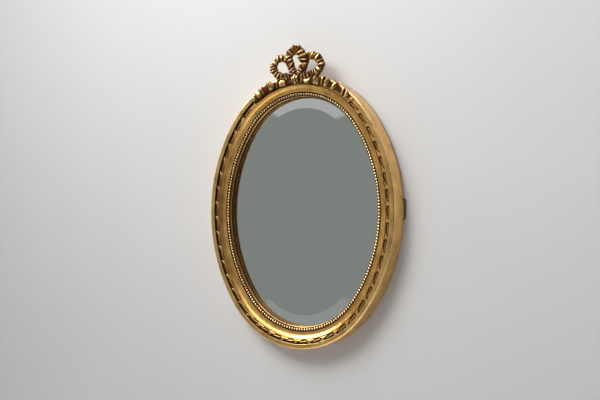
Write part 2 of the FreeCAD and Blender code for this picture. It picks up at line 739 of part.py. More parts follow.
def tail_ribbon(shares, sign):
    """A tail of the ribbon along the top of the frame, to the left or to the right of the knot."""
    points = []
    widths = []
    for angle, inset, width, thickness in shares:
        place = rail_point("top", sign * angle, f"{inset} * {CHANNEL_IN}")[0]
        points.append(place + PLAN_AXIS * value("frame_depth + crest_gap"))
        widths.append((width * value("tail_width"), thickness * value("tail_thickness")))
    return pleated_ribbon([tuple(point) for point in points], widths)


crest_holes = Part.makeCompound(pegs("hole_clearance"))
keep(feature(bow_ribbon(LEFT_LOOP_SHARES).cut(crest_holes), "left_loop"), "bow_left_loop")
keep(feature(bow_ribbon(RIGHT_LOOP_SHARES).cut(crest_holes), "right_loop"), "bow_right_loop")
keep(feature(bow_ribbon(TOP_LOOP_SHARES), "top_loop"), "bow_top_loop")
keep(feature(tail_ribbon(LEFT_TAIL_SHARES, 1), "left_tail"), "ribbon_tail_left")
keep(feature(tail_ribbon(RIGHT_TAIL_SHARES, -1), "right_tail"), "ribbon_tail_right")

# Knot: a domed boss with a sunk eye, over the feet of the top loop
knot = revolved("knot", [
    ("0", "0", None),
    ("knot_radius", "0", None),
    ("knot_radius", "knot_shoulder", ("plumb", "end", "left")),
    ("knot_eye_radius", "knot_height", None),
    ("0", "knot_height - knot_eye_depth", None),
], "360")
stand(knot, "0", f"{OVAL_HEIGHT} / 2 - knot_inset", "frame_depth + 2 * crest_gap + foot_thickness", 0)
keep(knot, "bow_knot")


# Hanging loops: a screwed plate with a rolled knuckle, and a wire ring that swings in it
def hanger(name, x, y, turn):
    """One hanger at its hinge point, with the ring lying flat along its turn."""
    knuckle_height = f"-({KNUCKLE_RADIUS})"
    body = doc.addObject("PartDesign::Body", f"plate_{name}")
    side = sketch_on(body, "XZ_Plane", f"plate_side_{name}")
    reach = f"sqrt({KNUCKLE_RADIUS} ^ 2 - ({KNUCKLE_RADIUS} - plate_thickness) ^ 2)"
    outline(side, [
        ("-plate_length", "0", None),
        ("-plate_length", "-plate_thickness", None),
        (f"-{reach}", "-plate_thickness", ("plumb", "end", "left")),
        ("0", "0", None),
    ])
    axle = Vector(0, value(knuckle_height), 0)
    bore = side.addGeometry(Part.Circle(axle, PLAN_AXIS, value("wire_radius + wire_clearance")))
    bind(side, "DistanceX", bore, 3, "0")
    bind(side, "DistanceY", bore, 3, knuckle_height)
    index = side.addConstraint(Sketcher.Constraint("Radius", bore, value("wire_radius + wire_clearance")))
    side.setExpression(f"Constraints[{index}]", ref("wire_radius + wire_clearance"))
    folded = body.newObject("PartDesign::Pad", f"plate_folded_{name}")
    folded.Profile = side
    folded.SideType = "Symmetric"
    folded.setExpression("Length", ref("plate_width"))
    stand(body, x, y, "0", turn)
    drilled = doc.addObject("Part::Cut", f"drilled_plate_{name}")
    drilled.Base = body
    drilled.Tool = feature(Part.makeCompound(screw_shanks("hole_clearance")), f"plate_holes_{name}")
    cuts.append((body, drilled))
    keep(drilled, f"hanger_plate_{name}")

    ring = doc.addObject("PartDesign::Body", f"ring_{name}")
    run = sketch_on(ring, "XY_Plane", f"ring_run_{name}", knuckle_height)
    outline(run, [
        ("0", "-ring_width / 2 + ring_corner", ("plumb", "end", "left")),
        ("ring_corner", "-ring_width / 2", None),
        ("ring_length - ring_corner", "-ring_width / 2", ("plumb", "start", "left")),
        ("ring_length", "-ring_width / 2 + ring_corner", None),
        ("ring_length", "ring_width / 2 - ring_corner", ("level", "start", "left")),
        ("ring_length - ring_corner", "ring_width / 2", None),
        ("ring_corner", "ring_width / 2", ("plumb", "start", "left")),
        ("0", "ring_width / 2 - ring_corner", None),
    ])
    wire = sketch_on(ring, "XZ_Plane", f"ring_wire_{name}")
    edge = wire.addGeometry(Part.Circle(axle, PLAN_AXIS, value("wire_radius")))
    bind(wire, "DistanceX", edge, 3, "0")
    bind(wire, "DistanceY", edge, 3, knuckle_height)
    index = wire.addConstraint(Sketcher.Constraint("Radius", edge, value("wire_radius")))
    wire.setExpression(f"Constraints[{index}]", ref("wire_radius"))
    bent = ring.newObject("PartDesign::AdditivePipe", f"ring_bent_{name}")
    bent.Profile = wire
    bent.Spine = run
    stand(ring, x, y, "0", turn)
    keep(ring, f"hanger_ring_{name}")


for name, (x, y, turn) in HANGERS.items():
    hanger(name, x, y, turn)

doc.recompute()

# Every object has to be built and every sub-part has to be sound before anything is written
for item in doc.Objects:
    if "Invalid" in item.State or "Error" in item.State:
        raise RuntimeError(f"{item.Name} failed: {item.State}")
for piece in sub_parts:
    if piece.Shape.isNull() or not piece.Shape.isValid() or not piece.Shape.Solids:
        raise RuntimeError(f"{piece.Label} has no sound solid")
for whole, cut in cuts:
    if cut.Shape.Volume >= whole.Shape.Volume:
        raise RuntimeError(f"{cut.Name} takes nothing away")

os.makedirs("parts", exist_ok=True)
for piece in sub_parts:
    piece.Shape.exportStep(f"parts/{piece.Label}.step")
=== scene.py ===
import bmesh
import bpy
import numpy as np
from mathutils import Matrix


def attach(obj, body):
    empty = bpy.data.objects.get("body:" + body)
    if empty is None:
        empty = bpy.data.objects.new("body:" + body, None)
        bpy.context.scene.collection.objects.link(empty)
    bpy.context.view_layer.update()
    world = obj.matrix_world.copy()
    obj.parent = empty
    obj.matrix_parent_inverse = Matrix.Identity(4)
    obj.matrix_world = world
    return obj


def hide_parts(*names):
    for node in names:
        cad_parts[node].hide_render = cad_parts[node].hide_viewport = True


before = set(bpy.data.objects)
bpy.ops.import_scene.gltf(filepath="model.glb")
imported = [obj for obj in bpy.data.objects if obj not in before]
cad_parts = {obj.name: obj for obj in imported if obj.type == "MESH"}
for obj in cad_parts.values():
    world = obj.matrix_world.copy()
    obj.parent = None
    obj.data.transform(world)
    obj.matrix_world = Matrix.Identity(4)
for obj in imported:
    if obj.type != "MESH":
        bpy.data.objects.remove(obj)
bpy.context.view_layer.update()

# Frame rails: four curved lengths of carved softwood, gessoed and laid with gold leaf that is toned brown in
# the hollows, where painted shade darkens it further, with paler worn gold and painted highlights on the
# ridges.
# They are doweled end to end where the arcs of the oval meet, and the back is bare wood with a brown wash.
MM = 0.001
OVAL_WIDTH = 427.0
OVAL_HEIGHT_SHARE = 1.26
END_RADIUS_SHARE = 0.4333
OVAL_HEIGHT = OVAL_HEIGHT_SHARE * OVAL_WIDTH
END_RADIUS = END_RADIUS_SHARE * OVAL_WIDTH
END_CENTRE = OVAL_HEIGHT / 2 - END_RADIUS
SIDE_RADIUS = ((OVAL_WIDTH / 2) ** 2 + END_CENTRE ** 2 - END_RADIUS ** 2) / (OVAL_WIDTH - 2 * END_RADIUS)
SIDE_CENTRE = SIDE_RADIUS - OVAL_WIDTH / 2
SIDE_HALF = np.arctan2(END_CENTRE, SIDE_CENTRE)
END_HALF = np.pi / 2 - SIDE_HALF
# Centre of each rail's arc in x and z, its radius, the angle of its middle and its half angle
RAILS = {
    "right": (-SIDE_CENTRE, 0.0, SIDE_RADIUS, 0.0, SIDE_HALF),
    "top": (0.0, END_CENTRE, END_RADIUS, np.pi / 2, END_HALF),
    "left": (SIDE_CENTRE, 0.0, SIDE_RADIUS, np.pi, SIDE_HALF),
    "bottom": (0.0, -END_CENTRE, END_RADIUS, 3 * np.pi / 2, END_HALF),
}


def rail_surface(rail, share, inset, height):
    """Points in metres: the arc's centre plus (radius - inset) at an angle, with the height going to -Y."""
    x, z, radius, middle, half = RAILS[rail]
    angle = middle + share * half
    reach = radius - inset
    places = (x + reach * np.cos(angle), -height, z + reach * np.sin(angle))
    return MM * np.stack(np.broadcast_arrays(*places), axis=-1)


def grid_faces(rows, columns, onward=False):
    """Quads between neighbours of a grid whose last column joins its first; onward joins the rows so too."""
    row, column = np.mgrid[0:rows if onward else rows - 1, 0:columns]
    below = (row + 1) % rows
    after = (column + 1) % columns
    corners = (row * columns + column, row * columns + after,
               below * columns + after, below * columns + column)
    return np.stack(corners, axis=-1).reshape(-1, 4).tolist()


def capped_faces(rows, columns):
    """The quads of a closed sleeve with a flat face over its first and its last ring."""
    first = list(range(columns))[::-1]
    last = list(range((rows - 1) * columns, rows * columns))
    return grid_faces(rows, columns) + [first, last]


def make_piece(name, points, faces, shades, sharp=40.0):
    """A mesh object of closed shells with point attributes; every shell's faces are turned outwards."""
    mesh = bpy.data.meshes.new(name)
    mesh.from_pydata(points.reshape(-1, 3).tolist(), [], faces)
    shell = bmesh.new()
    shell.from_mesh(mesh)
    bmesh.ops.recalc_face_normals(shell, faces=shell.faces)
    shell.to_mesh(mesh)
    shell.free()
    for shade, values in shades.items():
        values = np.broadcast_to(values, points.shape[:-1]).astype(np.float32).ravel()
        mesh.attributes.new(shade, "FLOAT", "POINT").data.foreach_set("value", values)
    mesh.shade_smooth()
    mesh.set_sharp_from_angle(angle=np.radians(sharp))
    piece = bpy.data.objects.new(name, mesh)
    bpy.context.scene.collection.objects.link(piece)
    return piece


def add_node(tree, kind, inputs, **settings):
    """A shader node with its settings; an input is a value or the socket that feeds it."""
    node = tree.nodes.new(kind)
    for setting, value in settings.items():
        setattr(node, setting, value)
    for socket, value in inputs.items():
        if isinstance(value, bpy.types.NodeSocket):
            tree.links.new(value, node.inputs[socket])
        else:
            node.inputs[socket].default_value = value
    return node


def blend_number(tree, share, low, high):
    """low where share is 0 and high where it is 1."""
    inputs = {"Value": share, "To Min": low, "To Max": high}
    return add_node(tree, "ShaderNodeMapRange", inputs).outputs["Result"]


def ease_number(tree, value, start, end):
    """0 below start and 1 above end, eased between them."""
    inputs = {"Value": value, "From Min": start, "From Max": end}
    return add_node(tree, "ShaderNodeMapRange", inputs, interpolation_type="SMOOTHSTEP").outputs["Result"]


def work_number(tree, operation, first, second):
    """One sum, difference or product of two numbers."""
    return add_node(tree, "ShaderNodeMath", {0: first, 1: second}, operation=operation).outputs[0]


def blend_colour(tree, share, low, high):
    """The colour low where share is 0 and high where it is 1."""
    inputs = {"Factor": share, "A": low, "B": high}
    return add_node(tree, "ShaderNodeMix", inputs, data_type="RGBA").outputs["Result"]


def cloud(tree, place, scale, detail):
    """A soft random pattern on the object's own coordinates."""
    inputs = {"Vector": place, "Scale": scale, "Detail": detail, "Roughness": 0.55}
    return add_node(tree, "ShaderNodeTexNoise", inputs).outputs["Fac"]


def finished(name):
    """A new material with its node tree, its shader and its object coordinates."""
    material = bpy.data.materials.new(name)
    material.use_nodes = True
    tree = material.node_tree
    place = add_node(tree, "ShaderNodeTexCoord", {}).outputs["Object"]
    return material, tree, tree.nodes["Principled BSDF"], place


LEAF_GOLD = (0.92, 0.545, 0.17, 1.0)
# Paler gold of worn ridges and of burnished crowns, each also a painted highlight
WORN_GOLD_AND_HIGHLIGHT = (1.0, 0.79, 0.42, 1.0)
BURNISHED_GOLD_AND_HIGHLIGHT = (1.0, 0.87, 0.60, 1.0)
DULL_GOLD = (0.68, 0.38, 0.105, 1.0)
# Brown toning of the hollows, which also serves as painted shade there
BROWN_TONING_AND_SHADE = (0.080, 0.032, 0.009, 1.0)
RED_GROUND = (0.24, 0.055, 0.025, 1.0)
WASHED_WOOD = (0.11, 0.062, 0.033, 1.0)
WORN_WASH = (0.145, 0.086, 0.048, 1.0)
MOTTLE_SCALE = 42.0
FLECK_SCALE = 520.0
MOTTLE_SHIFT = 0.14
# Ranges over which ridges, leaf, rubbed flecks and worn wash come in, and how much the flecks show off and on
# the ridges
RIDGE_RANGE = (0.56, 0.85)
LEAF_RANGE = (0.32, 0.68)
RUBBED_RANGE = (0.69, 0.80)
WASH_RANGE = (0.35, 0.70)
RUBBED_SHARES = (0.25, 0.6)
RIDGE_WEAR_AND_HIGHLIGHT = 0.7
LEAF_METAL = 0.86
TONED_METAL = 0.5
LEAF_SMOOTHEST = 0.22
LEAF_ROUGHEST = 0.36
TONING_ROUGHNESS = 0.16
WASH_ROUGHNESS = 0.75


def gilding(name, toning_and_shade_start, toning_and_shade_end, polish=0.0, worn=WORN_GOLD_AND_HIGHLIGHT):
    """Gold leaf on a red ground, with brown toning and painted shade in the hollows, paler worn gold with a
    painted highlight on the ridges, and a brown wash where there is no leaf.

    The hollow attribute is 0 on ridges and 1 in hollows. The gilt attribute is 1 on leaf and 0 on bare wood.
    """
    material, tree, shader, place = finished(name)
    hollow = add_node(tree, "ShaderNodeAttribute", {}, attribute_name="hollow").outputs["Fac"]
    gilt = add_node(tree, "ShaderNodeAttribute", {}, attribute_name="gilt").outputs["Fac"]
    mottle = cloud(tree, place, MOTTLE_SCALE, detail=4.0)
    fleck = cloud(tree, place, FLECK_SCALE, detail=3.0)
    depth = work_number(tree, "ADD", hollow, blend_number(tree, mottle, -MOTTLE_SHIFT, MOTTLE_SHIFT))
    # Toning in the hollows, which also paints the shade that falls in them
    toned_and_shaded = ease_number(tree, depth, toning_and_shade_start, toning_and_shade_end)
    ridge = ease_number(tree, work_number(tree, "SUBTRACT", 1.0, hollow), *RIDGE_RANGE)
    gold = blend_colour(tree, ease_number(tree, mottle, *LEAF_RANGE), DULL_GOLD, LEAF_GOLD)
    # Paler worn gold on the ridges, which also paints a highlight on them
    gold = blend_colour(tree, blend_number(tree, ridge, 0.0, RIDGE_WEAR_AND_HIGHLIGHT), gold, worn)
    rubbed = work_number(tree, "MULTIPLY", ease_number(tree, fleck, *RUBBED_RANGE),
                         blend_number(tree, ridge, *RUBBED_SHARES))
    gold = blend_colour(tree, rubbed, gold, RED_GROUND)
    gold = blend_colour(tree, toned_and_shaded, gold, BROWN_TONING_AND_SHADE)
    wash = blend_colour(tree, ease_number(tree, mottle, *WASH_RANGE), WASHED_WOOD, WORN_WASH)
    tree.links.new(blend_colour(tree, gilt, wash, gold), shader.inputs["Base Color"])
    leaf = work_number(tree, "MULTIPLY", gilt, blend_number(tree, toned_and_shaded, LEAF_METAL, TONED_METAL))
    tree.links.new(leaf, shader.inputs["Metallic"])
    rough = blend_number(tree, mottle, LEAF_SMOOTHEST - polish, LEAF_ROUGHEST - polish)
    rough = work_number(tree, "ADD", rough, blend_number(tree, toned_and_shaded, 0.0, TONING_ROUGHNESS))
    shader.inputs["Specular IOR Level"].default_value = 0.25
    tree.links.new(blend_number(tree, gilt, WASH_ROUGHNESS, rough), shader.inputs["Roughness"])
    inputs = {"Height": work_number(tree, "ADD", fleck, mottle), "Strength": 0.10, "Distance": 0.0006}
    tree.links.new(add_node(tree, "ShaderNodeBump", inputs).outputs["Normal"], shader.inputs["Normal"])
    return material


def arc_points(centre, first, last, steps=14):
    """Points of the shorter arc about a centre, from first to last."""
    centre, first, last = (np.array(point) for point in (centre, first, last))
    start = np.arctan2(*(first - centre)[::-1])
    turn = np.arctan2(*(last - centre)[::-1]) - start
    turn = (turn + np.pi) % (2 * np.pi) - np.pi
    angle = start + turn * np.linspace(0, 1, steps)
    return centre + np.hypot(*(first - centre)) * np.stack([np.cos(angle), np.sin(angle)], axis=-1)


def blurred(outline, spacing, softness):
    """A closed outline of even steps after a running mean with Gaussian weights."""
    index = np.arange(len(outline))
    away = np.minimum(index, len(outline) - index) * spacing
    weights = np.exp(-0.5 * (away / softness) ** 2)
    spectrum = np.fft.fft(weights / weights.sum())[:, None]
    return np.real(np.fft.ifft(np.fft.fft(outline, axis=0) * spectrum, axis=0))


def soft_section(corners, count, spacing=0.15, softness=0.32, reach=2.2, evenness=0.12, hollow_span=2.4):
    """A closed section (inset, height) with eased corners, denser where it bends, and how hollow it lies.

    A point's hollow is how far a wide running mean of the outline stands out from it, with 0.5 on a flat.
    """
    closed = np.vstack([corners, corners[:1]])
    run = np.concatenate([[0], np.cumsum(np.hypot(*np.diff(closed, axis=0).T))])
    walk = np.arange(0, run[-1], spacing)
    even = np.stack([np.interp(walk, run, closed[:, axis]) for axis in (0, 1)], axis=-1)
    soft = blurred(even, spacing, softness)
    along = np.roll(soft, -1, axis=0) - np.roll(soft, 1, axis=0)
    inward = np.stack([-along[:, 1], along[:, 0]], axis=-1) / np.hypot(*along.T)[:, None]
    area = np.sum(soft[:, 0] * np.roll(soft[:, 1], -1) - soft[:, 1] * np.roll(soft[:, 0], -1))
    outward = inward if area < 0 else -inward
    hollow = np.sum((blurred(even, spacing, reach) - soft) * outward, axis=-1)
    bend = np.hypot(*(np.roll(soft, -1, axis=0) - 2 * soft + np.roll(soft, 1, axis=0)).T)
    crowd = np.cumsum(evenness + bend / bend.max())
    chosen = np.interp(np.arange(count) * crowd[-1] / count, crowd, np.arange(len(soft)))
    columns = [np.interp(chosen, np.arange(len(soft)), column) for column in (*soft.T, hollow)]
    return columns[0], columns[1], np.clip(0.5 + columns[2] / hollow_span, 0, 1)


# The moulding as inset from the outer edge and height above the back
RAIL_SECTION = np.vstack([
    (1.5, 0.0), (0.0, 1.5),
    arc_points((3.0, 37.4), (0.0, 37.4), (3.0, 40.4)),
    (10.0, 40.4), (10.0, 32.5), (19.0, 32.5), (19.0, 36.2),
    arc_points((31.2, 41.343), (20.2, 36.2), (31.2, 29.2), steps=24),
    (33.6, 29.2), (33.6, 25.4),
    arc_points((40.2, 23.331), (40.2, 25.4), (42.2, 22.8)),
    arc_points((51.129, 22.8), (42.2, 22.8), (43.6, 18.0)),
    (43.6, 15.5), (36.0, 15.5), (36.0, 5.0), (25.0, 5.0), (25.0, 0.0),
])
# Strips of toning and painted shade: middle and half width of the inset, lowest and highest point, and
# hollow.
# They are the rim's inner wall, the lip of the cove, the ledge behind the pearls, and lip, hollow and foot of
# the sight edge, all darkened where shade falls in them.
TONED_AND_SHADED_STRIPS = (
    (10.05, 0.45, -1.0, 39.8, 0.97),
    (19.6, 0.9, -1.0, 36.4, 0.74),
    (33.4, 1.0, 25.0, 29.4, 0.86),
    (40.9, 1.0, 23.1, 25.7, 0.82),
    (43.3, 2.0, 17.6, 23.1, 0.94),
    (43.3, 2.0, -1.0, 17.6, 0.78),
)
RAIL_STEPS = 150
SECTION_POINTS = 170
# The leaf fades in above the washed back, and covers what shows of the sight edge
WASH_TOP = 2.0
WASH_FADE = 2.0
SIGHT_INSET = 34.0
SIGHT_FOOT = 15.45
# The carver's hand: a slight waver of the front along each rail
WAVER_HEIGHT = 0.12
WAVER_RATE = 61.0
WAVER_FOOT = 20.0
rail_inset, rail_height, rail_hollow = soft_section(RAIL_SECTION, SECTION_POINTS)
rail_gilt = np.where(rail_inset < SIGHT_INSET, np.clip((rail_height - WASH_TOP) / WASH_FADE, 0, 1),
                     rail_height > SIGHT_FOOT)
for middle, half_width, lowest, highest, strip_hollow in TONED_AND_SHADED_STRIPS:
    inside = (np.abs(rail_inset - middle) < half_width) & (rail_height > lowest) & (rail_height < highest)
    rail_hollow = np.maximum(rail_hollow, strip_hollow * inside)
rail_gilding = gilding("aged_and_shaded_leaf_on_moulding", toning_and_shade_start=0.62, toning_and_shade_end=0.86)
for rail in RAILS:
    along = np.linspace(-1, 1, RAIL_STEPS)[:, None]
    waver = WAVER_HEIGHT * np.sin(WAVER_RATE * along + RAILS[rail][3]) * (1 - along ** 2)
    height = rail_height[None] + waver * (rail_height[None] > WAVER_FOOT)
    points = rail_surface(rail, along, rail_inset[None], height)
    piece = make_piece(f"gilded_rail_{rail}", points, capped_faces(*points.shape[:2]),
                       {"hollow": rail_hollow[None], "gilt": rail_gilt[None]})
    piece.data.materials.append(rail_gilding)
    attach(piece, "mirror")
    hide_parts(f"frame_rail_{rail}")

# Pearl border: rows of turned beads on a thin backing strip, pressed in composition and gilded.
# Each strip lies on the narrow ledge between the cove and the sight edge, and is glued there.
PEARL_BED = 25.4
PEARL_LINE = 36.9
PEARL_PITCH = 5.87
PEARL_RADIUS = 2.55
PEARL_LIFT = 1.85
PEARL_SIDES = 10
PEARL_TILTS = (-50.0, -12.0, 24.0, 60.0)
STRIP_WIDTH = 5.8
STRIP_THICKNESS = 0.8
STRIP_STEPS = 90
# Toning and painted shade of a bead: at its middle, how far it clears to a painted highlight towards the
# crown, and how far painted shade darkens it towards the next bead
BEAD_TONING_AND_SHADE = 0.80
BEAD_CROWN_WEAR_AND_HIGHLIGHT = 0.74
BEAD_GAP_TONING_AND_SHADE = 0.45
# One bead: four rings of a ball, a foot point and a crown point
pearl_tilt = np.radians(PEARL_TILTS)[:, None]
pearl_turn = 2 * np.pi * np.arange(PEARL_SIDES) / PEARL_SIDES
pearl_rings = np.stack(np.broadcast_arrays(np.cos(pearl_tilt) * np.cos(pearl_turn),
                                           np.cos(pearl_tilt) * np.sin(pearl_turn),
                                           np.sin(pearl_tilt)), axis=-1).reshape(-1, 3)
pearl_form = PEARL_RADIUS * np.vstack([pearl_rings, (0, 0, -1), (0, 0, 1)])
pearl_side = np.arange(PEARL_SIDES)
pearl_after = np.roll(pearl_side, -1)
pearl_top = len(pearl_rings) - PEARL_SIDES
pearl_foot = np.full(PEARL_SIDES, len(pearl_rings))
pearl_quads = np.array(grid_faces(len(PEARL_TILTS), PEARL_SIDES))
pearl_caps = np.vstack([
    np.stack([pearl_foot, pearl_side, pearl_after], axis=-1),
    np.stack([pearl_foot + 1, pearl_top + pearl_after, pearl_top + pearl_side], axis=-1),
])
# Crowns clear to burnished gold as a painted highlight; lower sides and flanks darken with toning and painted
# shade
bead_hollow = BEAD_TONING_AND_SHADE - BEAD_CROWN_WEAR_AND_HIGHLIGHT * pearl_form[:, 2] / PEARL_RADIUS
bead_hollow = np.clip(bead_hollow + BEAD_GAP_TONING_AND_SHADE * (pearl_form[:, 1] / PEARL_RADIUS) ** 2, 0, 1)
strip_inset = PEARL_LINE + STRIP_WIDTH / 2 * np.array([-1, -1, 1, 1])
strip_height = PEARL_BED + STRIP_THICKNESS * np.array([0, 1, 1, 0])
pearl_gilding = gilding("rubbed_leaf_with_shade_and_highlight_on_pearls", toning_and_shade_start=0.54, toning_and_shade_end=0.84, polish=0.10,
                        worn=BURNISHED_GOLD_AND_HIGHLIGHT)
for rail in RAILS:
    radius, half = RAILS[rail][2], RAILS[rail][4]
    reach = radius - PEARL_LINE
    count = round(2 * half * reach / PEARL_PITCH)
    share = ((np.arange(count) + 0.5) / count * 2 - 1)[:, None]
    beads = rail_surface(rail, share + pearl_form[:, 1] / (reach * half), PEARL_LINE - pearl_form[:, 0],
                         PEARL_BED + PEARL_LIFT + pearl_form[:, 2]).reshape(-1, 3)
    strip = rail_surface(rail, np.linspace(-1, 1, STRIP_STEPS)[:, None], strip_inset, strip_height)
    faces = capped_faces(*strip.shape[:2])
    strip = strip.reshape(-1, 3)
    starts = (len(strip) + np.arange(count) * len(pearl_form))[:, None, None]
    faces += (starts + pearl_quads).reshape(-1, 4).tolist() + (starts + pearl_caps).reshape(-1, 3).tolist()
    # The backing strip is fully toned, which paints the shade between the beads
    hollow = np.concatenate([np.ones(len(strip)), np.tile(bead_hollow, count)])
    piece = make_piece(f"pearl_border_{rail}", np.vstack([strip, beads]), faces,
                       {"hollow": hollow, "gilt": 1.0}, sharp=60.0)
    piece.data.materials.append(pearl_gilding)
    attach(piece, "mirror")
    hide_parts(f"pearl_strip_{rail}")

# Ribbon twist: a ribbon wound about a thin stick, pressed in composition, gilded and glued into the channel.
# The boat-shaped recesses between its turns are toned dark and carry painted shade, with the stick showing in
# them.
CHANNEL_EDGE = 10.1
CHANNEL_WIDTH = 8.8
CHANNEL_FLOOR = 32.5
TWIST_PITCH = 31.2
TWIST_LINE = 14.5
TWIST_COLUMNS = 22
TWIST_STEPS = 56
# The ribbon's crown at the rim, its fall towards the cove, its drop at both edges, and how it rolls
TWIST_CROWN = 38.3
TWIST_FALL = 0.9
TWIST_SHOULDER = 2.4
ROLL_HEIGHT = 0.4
ROLL_SHARE = 0.9
ROLL_START = 0.06
# The recess, in shares of the pitch and of the channel's width, with its wall and floor in millimetres
BOAT_MIDDLE = -0.13
BOAT_SLANT = 0.30
BOAT_REACH = 0.42
BOAT_TIP = 0.97
BOAT_ROUNDNESS = 3.2
BOAT_EDGE = (-0.02, 0.07)
BOAT_WALL = 1.6
RECESS_FLOOR = 33.7
STICK_RADIUS = 1.25
STICK_LIFT = 0.8
STICK_SLANT = 0.35
STICK_HALF = 0.30
# Toning of the ribbon; toning and painted shade in its recess; clearing of the roll's ridges as a painted
# highlight; toning and painted shade at the edges; toning of the stick; toning and painted shade on the
# underside
TWIST_TONING = 0.30
BOAT_TONING_AND_SHADE = 0.68
BOAT_TONING_AND_SHADE_RANGE = (0.05, 0.45)
ROLL_WEAR_AND_HIGHLIGHT = 0.10
TWIST_EDGE_TONING_AND_SHADE = 0.45
STICK_TONING = 0.46
TWIST_FOOT_TONING_AND_SHADE = 0.9


def eased(value, start, end):
    """0 before start and 1 after end, with a smooth step between them."""
    share = np.clip((value - start) / (end - start), 0, 1)
    return share * share * (3 - 2 * share)


def twist_relief(turn, across):
    """Height and hollow of the twist: a crowned ribbon, lowered inside a slanting boat, with a rod in it.

    The boat is half an oval with its flat side at the rim: its reach each way from a slanting middle line is
    the root of 1 less a power of the share across. Between boats the ribbon rolls by a cosine of the turn.
    """
    crown = TWIST_CROWN - TWIST_FALL * across - TWIST_SHOULDER * np.abs(2 * across - 1) ** 4
    middle = BOAT_MIDDLE + BOAT_SLANT * across
    reach = BOAT_REACH * np.sqrt(np.clip(1 - (across / BOAT_TIP) ** BOAT_ROUNDNESS, 0, 1))
    inside = (reach - np.abs(turn - middle)) * TWIST_PITCH
    boat = eased(inside, 0.0, BOAT_WALL) * eased(across, *BOAT_EDGE)
    roll = ROLL_SHARE * np.cos(2 * np.pi * (turn - BOAT_SLANT * across + ROLL_START)) * (1 - boat)
    ribbon = crown - ROLL_HEIGHT
    height = ribbon + ROLL_HEIGHT * roll - (ribbon - RECESS_FLOOR) * boat
    off_stick = (across - 0.5 - STICK_SLANT * turn) * CHANNEL_WIDTH
    rod = np.sqrt(np.clip(STICK_RADIUS ** 2 - off_stick ** 2, 0, None)) * (np.abs(turn) < STICK_HALF)
    rod_top = RECESS_FLOOR + STICK_LIFT + rod
    stick = (rod > 0) & (rod_top > height)
    edge = TWIST_EDGE_TONING_AND_SHADE * np.abs(2 * across - 1) ** 6
    # Toning, with painted shade in the recess and at the edges and a painted highlight on the roll's ridges
    toning_and_shade = TWIST_TONING + BOAT_TONING_AND_SHADE * eased(boat, *BOAT_TONING_AND_SHADE_RANGE) - ROLL_WEAR_AND_HIGHLIGHT * roll + edge
    hollow = np.where(stick, STICK_TONING, toning_and_shade)
    return np.maximum(height, np.where(rod > 0, rod_top, 0)), np.clip(hollow, 0, 1)


twist_across = np.linspace(0, 1, TWIST_COLUMNS)
twist_inset = CHANNEL_EDGE + CHANNEL_WIDTH * np.concatenate([twist_across, [1.0, 0.0]])
twist_gilding = gilding("toned_and_shaded_leaf_on_twist", toning_and_shade_start=0.50, toning_and_shade_end=0.74)
# The rail that each strip lies on, and where it starts and ends as shares of the rail's half angle
TWIST_RUNS = {
    "right": ("right", -1.0, 1.0),
    "bottom": ("bottom", -1.0, 1.0),
    "left": ("left", -1.0, 1.0),
    "top_right": ("top", -1.0, -0.80),
    "top_left": ("top", 0.71, 1.0),
}
for name, (rail, first, last) in TWIST_RUNS.items():
    radius, half = RAILS[rail][2], RAILS[rail][4]
    count = max(1, round((last - first) * half * (radius - TWIST_LINE) / TWIST_PITCH))
    turns = np.linspace(0, count, TWIST_STEPS * count + 1)
    height, hollow = twist_relief((turns % 1 - 0.5)[:, None], twist_across[None])
    share = (first + (last - first) * turns / count)[:, None]
    foot = np.full((len(turns), 2), CHANNEL_FLOOR)
    points = rail_surface(rail, share, twist_inset[None], np.hstack([height, foot]))
    hollow = np.hstack([hollow, np.full_like(foot, TWIST_FOOT_TONING_AND_SHADE)])
    piece = make_piece(f"ribbon_twist_{name}", points, capped_faces(*points.shape[:2]),
                       {"hollow": hollow, "gilt": 1.0}, sharp=55.0)
    piece.data.materials.append(twist_gilding)
    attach(piece, "mirror")
    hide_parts(f"twist_strip_{name}")

# Mirror glass: a silvered oval plate, five millimetres thick, with a wide polished bevel round its front.
# The bevel rests against the sight edge of the frame, and the silvered back is sealed with dark paint.
GLASS_EDGE = 37.0
BEVEL_WIDTH = 27.0
GLASS_BACK = 12.34
BEVEL_FOOT = 14.84
GLASS_FRONT = 17.34
SILVER = (0.86, 0.89, 0.87, 1.0)
DARK_SEALING = (0.05, 0.035, 0.03, 1.0)
PALE_SEALING = (0.11, 0.075, 0.055, 1.0)
HAZE_SCALE = 9.0
HAZE_RANGE = (0.45, 0.8)
SILVER_ROUGHNESS = (0.015, 0.05)
STREAK_SCALE = 30.0


def oval_ring(inset, height, steps=72):
    """One closed ring of points on the four arcs of the oval, drawn in by an inset."""
    share = np.arange(steps) / steps * 2 - 1
    return np.vstack([rail_surface(rail, share, inset, height) for rail in RAILS])


glass_rings = np.stack([oval_ring(GLASS_EDGE, GLASS_BACK), oval_ring(GLASS_EDGE, BEVEL_FOOT),
                        oval_ring(GLASS_EDGE + BEVEL_WIDTH, GLASS_FRONT)])
mirror_plate = make_piece("mirror_plate", glass_rings, capped_faces(*glass_rings.shape[:2]), {}, sharp=3.0)
silver, tree, shader, place = finished("silvered_plate_glass")
shader.inputs["Base Color"].default_value = SILVER
shader.inputs["Metallic"].default_value = 1.0
haze = ease_number(tree, cloud(tree, place, HAZE_SCALE, detail=5.0), *HAZE_RANGE)
tree.links.new(blend_number(tree, haze, *SILVER_ROUGHNESS), shader.inputs["Roughness"])
backing, tree, shader, place = finished("sealing_paint")
streak = cloud(tree, place, STREAK_SCALE, detail=4.0)
tree.links.new(blend_colour(tree, streak, DARK_SEALING, PALE_SEALING), shader.inputs["Base Color"])
shader.inputs["Roughness"].default_value = 0.55
for material in (silver, backing):
    mirror_plate.data.materials.append(material)
facing = np.empty(len(mirror_plate.data.polygons) * 3)
